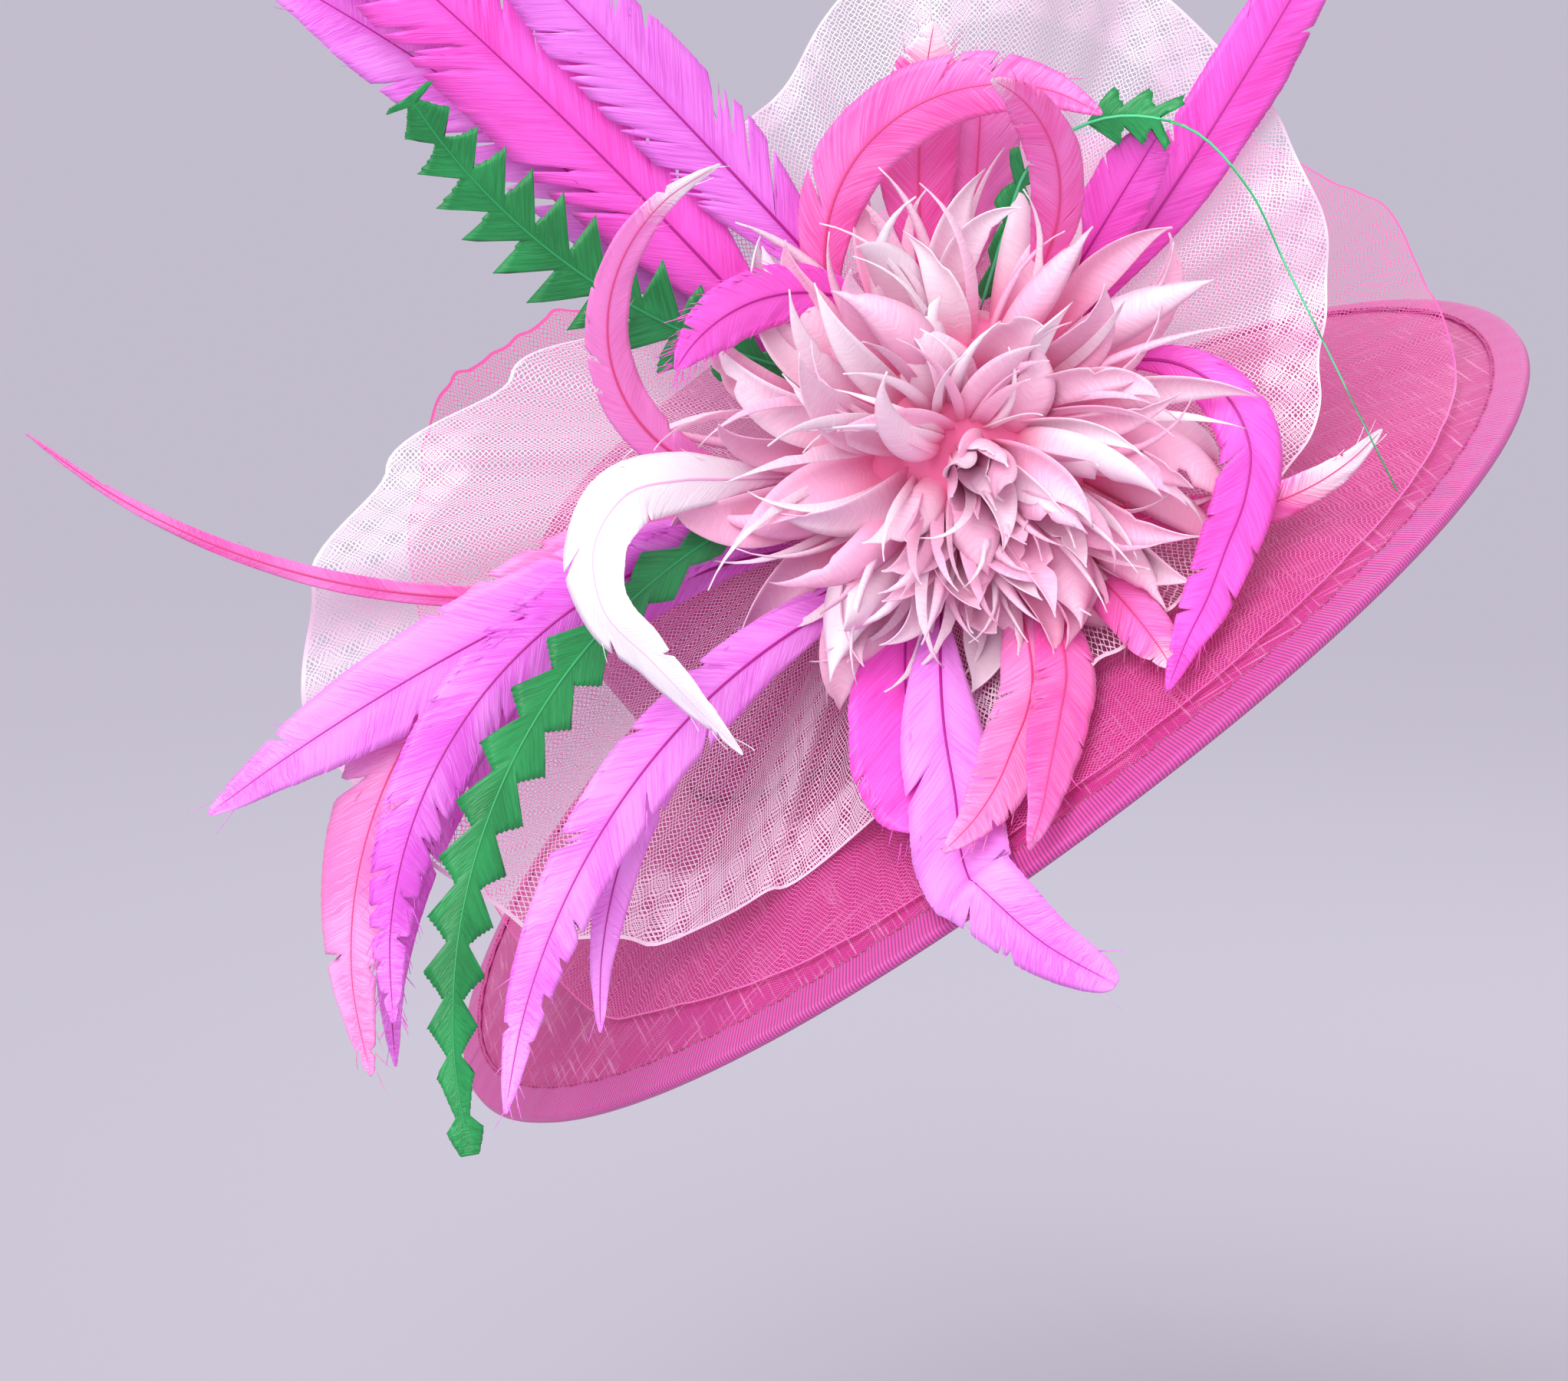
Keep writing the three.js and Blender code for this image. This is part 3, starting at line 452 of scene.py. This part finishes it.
def crownPoint(turn, share):
    straight = crown["height"] - crown["dome"] - crown["corner"]
    top = crownSide(crown["height"]) - crown["corner"]
    lengths = (straight + brim["wall"], crown["corner"] * math.pi / 2, top)
    gone = share * sum(lengths)
    if gone <= lengths[0]:
        height = gone - brim["wall"]
        reach = crownSide(height)
    elif gone <= lengths[0] + lengths[1]:
        angle = (gone - lengths[0]) / crown["corner"]
        reach = top + crown["corner"] * math.cos(angle)
        height = straight + crown["corner"] * math.sin(angle)
    else:
        reach = max(0, top - (gone - lengths[0] - lengths[1]))
        height = crown["height"] - crown["dome"] * (reach / top) ** 2
    a = rad(turn)
    spread = sum(lengths) - gone
    narrow = crown["width"] / crown["length"]
    return (Vector((reach * math.cos(a), reach * math.sin(a) * narrow, height)),
            (spread * math.cos(a), spread * math.sin(a) * narrow))


bm = bmesh.new()
movedGrid(bm, crown["columns"], crown["rows"], lambda x, y: crownPoint(x * 360 - 180, y)[0],
          lambda x, y: crownPoint(x * 360 - 180, y)[1])
finishPiece(bm, "sinamay_crown", ["crown"], "sinamay", ["sinamay"], hatPlace, wall=crown["wall"], offset=-1)
print("crown made")


# Brim: turned down all round, more at its two ends than at the middle
def brimFall(turn, share):
    a = rad(turn)
    edgeFall = brim["drop"] + brim["saddle"] * math.cos(2 * a) - brim["sway"] * math.cos(a)
    return edgeFall * max(share, 0) ** brim["roll"]


def brimPoint(turn, share, lift=0.0):
    a = rad(turn)
    innerLong = crown["length"] / 2 + fit["gap"]
    innerWide = crown["width"] / 2 + fit["gap"]
    return Vector(((innerLong + (brim["length"] / 2 - innerLong) * share) * math.cos(a),
                   (innerWide + (brim["width"] / 2 - innerWide) * share) * math.sin(a),
                   lift - brim["wall"] / 2 - brimFall(turn, share)))


bm = bmesh.new()
movedGrid(bm, brim["columns"], brim["rows"], lambda x, y: brimPoint(x * 360 - 180, y),
          lambda x, y: brimPoint(x * 360 - 180, y).xy)
finishPiece(bm, "sinamay_brim", ["brim"], "sinamay", ["sinamay"], hatPlace, wall=brim["wall"])
print("brim made")


# Ribbon folded over the brim's edge, and the row of stitches along its inner edge on both sides
edgeLength = math.pi * (brim["length"] + brim["width"]) / 2
innerShare = 1 - binding["width"] / (brim["width"] / 2 - crown["width"] / 2)


def edgeFrame(turn):
    edge = brimPoint(turn, 1)
    out = (edge - brimPoint(turn, innerShare)).normalized()
    around = (brimPoint(turn + 1, 1) - brimPoint(turn - 1, 1)).normalized()
    return edge, out, out.cross(around).normalized(), around


def bindingPoint(x, y):
    edge, out, up, around = edgeFrame(x * 360 - 180)
    half = brim["wall"] / 2 + fit["gap"] + binding["wall"] / 2
    fold = 0.16
    pucker = binding["pucker"] * math.sin(x * edgeLength / 0.0031 * 2 * math.pi)
    flat = 0.5 - fold / 2   # share of the ribbon on each face of the brim
    if y < flat:
        return edge + out * (-binding["width"] * (1 - y / flat)) - up * (half + pucker)
    if y > 1 - flat:
        return edge + out * (-binding["width"] * (y - 0.5 - fold / 2) / flat) + up * (half + pucker)
    angle = (y - 0.5) / fold * math.pi
    return edge + out * (0.0008 * math.cos(angle)) + up * (half * math.sin(angle))


bm = bmesh.new()
movedGrid(bm, binding["columns"], 14, bindingPoint, lambda x, y: (x * edgeLength, y * 2 * binding["width"]))
finishPiece(bm, "grosgrain_binding", ["edge_binding"], "grosgrain", ["grosgrain"], hatPlace,
            wall=binding["wall"])

bm = bmesh.new()
for side in (-1, 1):
    for i in range(int(edgeLength / stitch["spacing"])):
        turn = i * stitch["spacing"] / edgeLength * 360
        edge, out, up, around = edgeFrame(turn)
        height = brim["wall"] / 2 + fit["gap"] + binding["wall"] + 0.0001
        middle = edge - out * stitch["fromEdge"] + up * height * side
        sizes = (around * stitch["length"] / 2, out * stitch["thickness"], up * stitch["thickness"])
        place = Matrix(sizes).transposed().to_4x4()
        place.translation = middle
        bmesh.ops.create_uvsphere(bm, u_segments=6, v_segments=4, radius=1, matrix=place)
for face in bm.faces:
    face.smooth = True
finishPiece(bm, "edge_stitches", [], "grosgrain", ["thread"], hatPlace, merge=0)
print("binding and stitches made")


# Crinoline frills: open sheets of net, gathered at the middle
def brimNetPoint(turn, share):
    a = rad(turn)
    startLong = crown["length"] / 2 + 2 * fit["gap"] + fit["netWall"]
    startWide = crown["width"] / 2 + 2 * fit["gap"] + fit["netWall"]
    reach = readRows(brimNetRows, "reach", turn) * brimNet["reach"]
    rise = readRows(brimNetRows, "rise", turn) * brimNet["rise"]
    swell = readRows(brimNetRows, "swell", turn) * brimNet["swell"]
    long = startLong + (brim["length"] / 2 * reach - startLong) * share
    wide = startWide + (brim["width"] / 2 * reach - startWide) * share
    onBrim = (long - crown["length"] / 2) / (brim["length"] / 2 - crown["length"] / 2)
    bow = swell * math.sin(math.pi * min(max(share, 0), 1))
    free = min(1, rise / 0.04)
    ripple = brimNet["ripple"] * share * (math.sin(a * 31) + math.sin(a * 53 + 1)) * (0.25 + free)
    return Vector(((long + bow * 0.5) * math.cos(a), (wide + bow * 0.5) * math.sin(a),
                   fit["netLift"] - brimFall(turn, onBrim) + rise * max(share, 0) ** 1.3 + bow * 0.3
                   + ripple * 0.4 + abs(ripple) * 0.3))


def brimUnder(place):   # the turn and share of the brim under a place in the flower's frame
    long = (flower["along"] + place.x) / (brim["length"] / 2)
    wide = -(flowerOut + place.z) / (brim["width"] / 2)
    inner = crown["width"] / brim["width"]
    return math.degrees(math.atan2(wide, long)), (math.hypot(long, wide) - inner) / (1 - inner)


def brimTop(place):
    return fit["netLift"] + fit["netWall"] + fit["gap"] - brimFall(*brimUnder(place)) - flower["up"]


def flowerNetPoint(turn, share):
    a = rad(turn)
    edge = readRows(flowerNetRows, "reach", turn) * flowerNet["reach"]
    out = readRows(flowerNetRows, "out", turn) * flowerNet["depth"]
    wave = flowerNet["wave"] * math.sin(a * 9 + 0.6) * share ** 2
    ripple = flowerNet["ripple"] * share * (math.sin(a * 27 + 4 * share) + 0.7 * math.sin(a * 41 + 2))
    for fold in flowerNetFolds:
        ripple += 0.004 * share * math.exp(-((turn - fold["turn"]) / fold["spread"]) ** 2)
    reach = flowerNet["hole"] + (edge - flowerNet["hole"]) * share
    start = flower["radius"] * 1.25
    held = max(0, (reach - start) / (edge - start))
    return Vector((reach * math.cos(a), reach * math.sin(a),
                   out * held ** flowerNet["fall"] + (wave + ripple) * min(1, held * 2)))


def doubleAt(turn, share):   # how far the flower's frill lies double there
    most = 0.0
    for lip in flowerNetLips:
        ends = min(1, max(0, (turn - lip["start"]) / 8)) * min(1, max(0, (lip["end"] - turn) / 8))
        most = max(most, ends * min(1, max(0, (share - lip["share"] - (1 - ends) * 0.1) / 0.01)))
    for fold in flowerNetFolds:
        near = math.exp(-((turn - fold["turn"]) / fold["spread"]) ** 2)
        most = max(most, min(1, 1.3 * near * min(1, share * 1.4)))
    return most


def makeNet(name, node, slotName, key, pointAt, sizes, place, doubled):
    count = 720
    ring = [pointAt(i / count * 360 - 180, 0.8) for i in range(count + 1)]
    gone = [0.0]
    for a, b in zip(ring, ring[1:]):
        gone.append(gone[-1] + (b - a).length)
    whole = round(gone[-1] * 1.15 / net["pitch"]) * net["pitch"] / gone[-1]
    spans = {}

    def uvAt(x, y):
        if x not in spans:
            line = [pointAt(x * 360 - 180, j / 12) for j in range(13)]
            spans[x] = sum((b - a).length for a, b in zip(line, line[1:]))
        return gone[min(count, round(x * count))] * whole, y * spans[x]

    bm = bmesh.new()
    movedGrid(bm, sizes["columns"], sizes["rows"], lambda x, y: pointAt(x * 360 - 180, y), uvAt,
              lambda x, y: (x, y, doubled(x * 360 - 180, y), 0))
    area = sum(f.calc_area() for f in bm.faces)
    corners = [v.co for v in bm.verts]
    flat = [max(c[k] for c in corners) - min(c[k] for c in corners) for k in range(3)]
    piece = finishPiece(bm, name, [node], slotName, [key], place)
    wide, long = sorted(sorted(flat)[1:])


makeNet("pink_net", "brim_frill", "pink_crinoline", "brimNet", brimNetPoint, brimNet, hatPlace,
        lambda turn, share: 0.0)
makeNet("pale_net", "flower_frill", "pale_crinoline", "flowerNet", flowerNetPoint, flowerNet, flowerPlace,
        doubleAt)
print("frills made")


# Flower: a padded base and rings of curled, pointed goose feathers, with slivers between them
def wayAt(turn, lean):
    return Vector((math.cos(lean) * math.cos(turn), math.cos(lean) * math.sin(turn), math.sin(lean)))


def addPetal(bm, luck, turn, stand, start, length, width, curl, columns=6, rows=24):
    swing = luck.uniform(30, 95) * luck.choice((-1, 1))
    twist = luck.uniform(-60, 60)
    cup = luck.uniform(0.25, 0.7) * luck.choice((1, 1, -1))
    hook = luck.uniform(-95, 60)
    shade = luck.random()
    sides = (luck.uniform(0.75, 1), luck.uniform(0.75, 1))
    stretch = (1 + petal["stretch"] * math.cos(2 * rad(turn + petal["lean"]))
               + 0.1 * math.cos(rad(turn - 110)))
    long = length * stretch
    spot = Vector((start * math.cos(rad(turn)), start * math.sin(rad(turn)),
                   flower["depth"] * 0.75 + flower["dome"] * (1 - (start / flower["radius"]) ** 2) * 0.7))
    slits = [(luck.uniform(0.6, 0.95), luck.choice((0, 1)), luck.uniform(0.3, 0.7))
             for _ in range(luck.choice((0, 1, 2)))]
    path = []
    for i in range(rows + 1):
        share = i / rows
        turned = rad(turn + swing * share ** 2)
        clear = petal["brimStand"] * max(0, -math.sin(rad(turn)))   # lifts it off the brim
        lean = rad(stand + curl * share + hook * share ** 3 + clear)
        along = wayAt(turned, lean)
        across = Vector((-math.sin(turned), math.cos(turned), 0))
        across.rotate(Matrix.Rotation(rad(twist * share), 3, along))
        path.append((spot.copy(), along, across))
        spot += along * (long / rows)

    def placeAt(x, y):
        spot, along, across = path[round(y * rows)]
        side = 2 * x - 1
        taper = 1.15 if y < 0.5 else 1.0 + 0.3 * y
        half = width / 2 * (0.25 + 2.3 * y) * (1 - y) ** taper * sides[side > 0]
        for place, way, depth in slits:
            if (side > 0) == way:
                half *= 1 - depth * max(0, 1 - abs(y - place) / 0.05)
        half = max(half, 0.0002)
        up = along.cross(across)
        return (spot + across * (half * side) + up * (cup * half * (side * side - 0.4))
                + along * (abs(side) * half * 0.6))

    movedGrid(bm, columns, rows, placeAt, lambda x, y: ((x - 0.5) * width, y * long),
              lambda x, y: (y, abs(2 * x - 1), shade, 0))


bm = bmesh.new()
luck = random.Random(7)
for ring in petalRings:
    for i in range(ring["count"]):
        addPetal(bm, luck, 360 * (i + luck.uniform(-0.4, 0.4)) / ring["count"] + ring["start"] * 100,
                 ring["stand"] + luck.uniform(-11, 11), ring["start"] * flower["radius"],
                 ring["length"] * petal["length"] * luck.uniform(0.88, 1.2),
                 ring["width"] * petal["width"] * luck.uniform(0.55, 1.05),
                 ring["curl"] + luck.uniform(-16, 16))
for i in range(110):
    ring = luck.choice(petalRings[:6])
    addPetal(bm, luck, luck.uniform(0, 360), ring["stand"] + luck.uniform(-14, 14),
             ring["start"] * flower["radius"],
             ring["length"] * petal["length"] * luck.uniform(0.9, 1.25), luck.uniform(0.004, 0.01),
             ring["curl"] + luck.uniform(-20, 20), columns=2, rows=14)


def basePoint(x, y):
    radius = flower["radius"] * min(1, y * 2)
    height = fit["netWall"] / 2 + fit["gap"]
    if y > 0.5:
        angle = (y - 0.5) * math.pi
        radius = flower["radius"] * math.cos(angle)
        height = flower["depth"] + flower["dome"] * math.sin(angle)
    return Vector((radius * math.cos(x * 2 * math.pi), radius * math.sin(x * 2 * math.pi), height))


finishPiece(bm, "goose_petals", [], "petal_feather", ["petal"], flowerPlace, merge=0, wall=petal["wall"])
bm = bmesh.new()
movedGrid(bm, 40, 24, basePoint, lambda x, y: (x * 0.27, y * 0.08), lambda x, y: (0, 0, 0.5, 0))
finishPiece(bm, "flower_base", ["feather_flower"], "petal_feather", ["petal"], flowerPlace)

# Small tuft of coral down under the flower
bm = bmesh.new()
luck = random.Random(3)
for i in range(60):
    addPetal(bm, luck, luck.uniform(-88, -58), luck.uniform(20, 62), flower["radius"] * 0.9,
             luck.uniform(0.024, 0.04),
             luck.uniform(0.002, 0.006), luck.uniform(-40, 20), columns=2, rows=8)
finishPiece(bm, "coral_tuft", [], "coral_feather", ["tuft"], flowerPlace, merge=0, wall=feather["vaneWall"])
print("flower made")


# Feathers: one curved vane each side of a quill, cut by slits that follow the barbs, and loose barbs
def bladeWidth(share, point=0.5):
    opening = min(1, max(0, (share - 0.06) / 0.3))
    closing = max(0, 1 - max(0, (share - 0.45) / 0.552) ** 2) ** point
    return math.sin(opening * math.pi / 2) * closing


def quillSteps(row):
    sideways = abs(math.sin(rad(row["aim"] - row["at"]))) * feather["quillWidth"] / 2
    backwards = math.sin(rad(max(0, row["lean"]))) * feather["quillDepth"] / 2
    start = flower["radius"] + fit["gap"] + max(sideways, backwards)
    place = Vector((start * math.cos(rad(row["at"])), start * math.sin(rad(row["at"])),
                    fit["netWall"] / 2 + fit["gap"] + feather["wall"] + row["level"] * feather["level"]))
    steps = []
    for i in range(feather["steps"] + 1):
        share = i / feather["steps"]
        bent = min(1, max(0, (share - row["start"]) / (row["end"] - row["start"])))
        turn = rad(row["aim"] + row["bend"] * bent)
        along = wayAt(turn, rad(row["lean"] + row["rise"] * share))
        across = Vector((-math.sin(turn), math.cos(turn), 0))
        across.rotate(Matrix.Rotation(rad(row["twist"] * share), 3, along))
        half = row["width"] * feather["width"] * bladeWidth(share) / 2
        if brimUnder(place)[1] < 1.1:
            place.y = max(place.y, brimTop(place) + feather["lift"] + half * abs(across.y))
        steps.append((place.copy(), across))
        place += along * (row["length"] * feather["length"] / feather["steps"])
    return steps


def splineAt(points, share):
    spans = len(points) - 1
    i = min(int(share * spans), spans - 1)
    t = share * spans - i
    a, b, c, d = (points[min(max(j, 0), spans)] for j in range(i - 1, i + 3))
    return 0.5 * (2 * b + (c - a) * t + (2 * a - 5 * b + 4 * c - d) * t * t
                  + (3 * b - a - 3 * c + d) * t ** 3)


def featherFrame(row, fine=240):   # places, across and up along the quill, ready for quick reading
    steps = quillSteps(row)
    places = [splineAt([s[0] for s in steps], i / fine) for i in range(fine + 1)]
    frames = []
    for i, place in enumerate(places):
        along = (places[min(i + 1, fine)] - places[max(i - 1, 0)]).normalized()
        across = splineAt([s[1] for s in steps], i / fine)
        across = (across - along * across.dot(along)).normalized()
        frames.append((place, along, across, along.cross(across)))
    return lambda share: frames[round(min(1, max(0, share)) * fine)]


def toothShare(row, share):   # half width of a toothed blade, cut along a barb and then straight in
    for tooth in teeth:
        if tooth["name"] == row["name"] and tooth["low"] <= share <= tooth["high"]:
            place = (share - tooth["low"]) * row["length"] * feather["length"] / tooth["pitch"] % 1
            body = max(0.3, bladeWidth(min(share + 0.04, 0.93)))
            return tooth["wide"] * (1 - (1 - tooth["valley"]) * place) * body
    return 0.03


def makeFeather(row):
    name = "feather_" + row["name"]
    luck = random.Random(row["name"])
    readFrame = featherFrame(row)
    length = row["length"] * feather["length"]
    full = row["width"] * feather["width"] / 2
    green = row["dye"] == "green"
    slantBy = next((t["slant"] for t in teeth if t["name"] == row["name"]), feather["slant"])
    point = 0.5 if row["name"] in blunt else 0.8
    slits = [(luck.uniform(0.25, 0.97), luck.choice((-1, 1)), luck.uniform(0.25, 0.85),
              luck.uniform(0.004, 0.009))
             for _ in range(row["slits"])]
    sides = {-1: luck.uniform(0.86, 1.0), 1: luck.uniform(0.86, 1.0)}
    phase = luck.random() * 20
    shade = luck.random()
    columns = 260 if green else feather["columns"]

    def halfAt(share, way):
        if green:
            return full * toothShare(row, share)
        half = full * bladeWidth(share, point) * sides[way]
        half *= 1 + 0.07 * noise.noise(Vector((share * 7, way * 3, phase))) - 0.022 * luck.random()
        for place, on, depth, wide in slits:
            if on == way:
                half *= 1 - depth * max(0, 1 - abs(share - place) / wide)
        return max(half, 0.0003)

    halves = {(i, way): halfAt(i / columns, way) for i in range(columns + 1) for way in (-1, 1)}

    def vanePoint(x, y):
        side = 2 * y - 1
        half = halves[round(x * columns), 1 if side > 0 else -1]
        slant = slantBy * half * abs(side) / length
        place, along, across, up = readFrame(min(1, x + slant * (1 - x ** (12 if green else 4))))
        camber = -0.12 * full * side * side * half / full
        flutter = 0.0009 * noise.noise(Vector((x * 14, side * 2, phase))) * abs(side)
        return place + across * (half * side) + up * (camber + flutter)

    def toneAt(x, y):
        # share of white: partly pale tip, partly painted sheen
        pale = (x - row["pale"]) / (row["paleEnd"] - row["pale"])
        return x, abs(2 * y - 1), shade, min(1, max(0, pale))

    bm = bmesh.new()
    movedGrid(bm, columns, feather["rows"], vanePoint,
              lambda x, y: ((y - 0.5) * 2 * full, x * length), toneAt)
    for i in range(row["fray"]):
        way = luck.choice((-1, 1))
        share = luck.uniform(0.03, 0.3) if luck.random() < 0.35 else luck.uniform(0.3, 1)
        half = halves[round(share * columns), way]
        place, along, across, up = readFrame(share + feather["slant"] * half / length)
        root = place + across * half * way * 0.75 - up * 0.1 * half
        reach = luck.uniform(0.004, 0.009)
        aim = (along * luck.uniform(0.9, 1.5) + across * way * luck.uniform(0.2, 0.7)
               + up * luck.uniform(-0.3, 0.3)).normalized()
        curl = luck.uniform(-0.5, 0.5)
        pale = toneAt(share, 0)[3]
        movedGrid(bm, 1, 3, lambda x, y: root + aim * reach * y + up * curl * reach * y * y
                  + along * (0.00035 * (1 - y) * (2 * x - 1)),
                  lambda x, y: (y * reach, x * 0.0005), lambda x, y: (share, 1, shade, pale))
    piece = finishPiece(bm, "vanes_" + row["name"], [name], slotOf[name], [row["dye"]], flowerPlace,
                        merge=0, wall=feather["vaneWall"])

    bm = bmesh.new()
    spans = 48

    def quillPoint(x, y):
        place, along, across, up = readFrame(x)
        thick = (0.0007 - 0.0005 * x) * (min(1, x * 30) * min(1, (1 - x) * 20)) ** 0.5
        angle = y * 2 * math.pi
        return place + across * (thick * math.cos(angle)) + up * (thick * math.sin(angle))

    movedGrid(bm, spans, 6, quillPoint, lambda x, y: (x * length, y * 0.004))
    ownQuills = {"green_right_arch": "paleQuill", "white_pink_twist": "whiteQuill"}
    quillKey = ownQuills.get(row["name"], quills[row["dye"]])
    finishPiece(bm, "quill_" + row["name"], [], slotOf[name], [quillKey], flowerPlace, merge=1e-5)


for row in featherRows:
    makeFeather(row)
print("feathers made")

# Floor, lights and camera
view = {"place": (-0.0524, -1.4814, 0.2366), "down": 10, "lens": 94.84, "floor": -0.45}
bpy.ops.mesh.primitive_plane_add(size=400, location=(0, 0, view["floor"]))
floor = bpy.context.object
floor.name = "floor"
floor.data.materials.append(plainMaterial("pale_floor", "#C0BCC8", 0.8))
floor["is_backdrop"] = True

world = bpy.data.worlds.new("studio")
world.use_nodes = True
world.node_tree.nodes["Background"].inputs[0].default_value = linear("#EAE6F0")
world.node_tree.nodes["Background"].inputs[1].default_value = 0.62
bpy.context.scene.world = world

lights = table(
    "name kind place size power",
    ("key_light", "SUN", (-0.7, -1.6, 1.3), 0.9, 2.7),
    ("fill_light", "AREA", (1.5, -1.3, 0.5), 1.6, 4),
    ("back_light", "AREA", (0.6, 1.2, 1.2), 1.2, 8))
for lamp in lights:
    data = bpy.data.lights.new(lamp["name"], lamp["kind"])
    if lamp["kind"] == "SUN":
        data.angle = lamp["size"]
    else:
        data.size = lamp["size"]
    data.energy = lamp["power"]
    light = bpy.data.objects.new(lamp["name"], data)
    light.location = lamp["place"]
    away = Vector(lamp["place"]) - Vector((-0.04, 0, 0.05))   # from the middle of the hat
    light.rotation_euler = away.to_track_quat("Z", "Y").to_euler()
    bpy.context.scene.collection.objects.link(light)

bpy.context.scene.view_settings.view_transform = "Standard"
cameraData = bpy.data.cameras.new("camera")
cameraData.lens = view["lens"]
cameraData.sensor_width = 36
camera = bpy.data.objects.new("camera", cameraData)
camera.location = view["place"]
camera.rotation_euler = (rad(90 - view["down"]), 0, 0)
bpy.context.scene.collection.objects.link(camera)
bpy.context.scene.camera = camera

visualLow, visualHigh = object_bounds()
({"cad": [list(map(float, c)) for c in (cadLow, cadHigh)],
           "visual": [list(map(float, c)) for c in (visualLow, visualHigh)]})
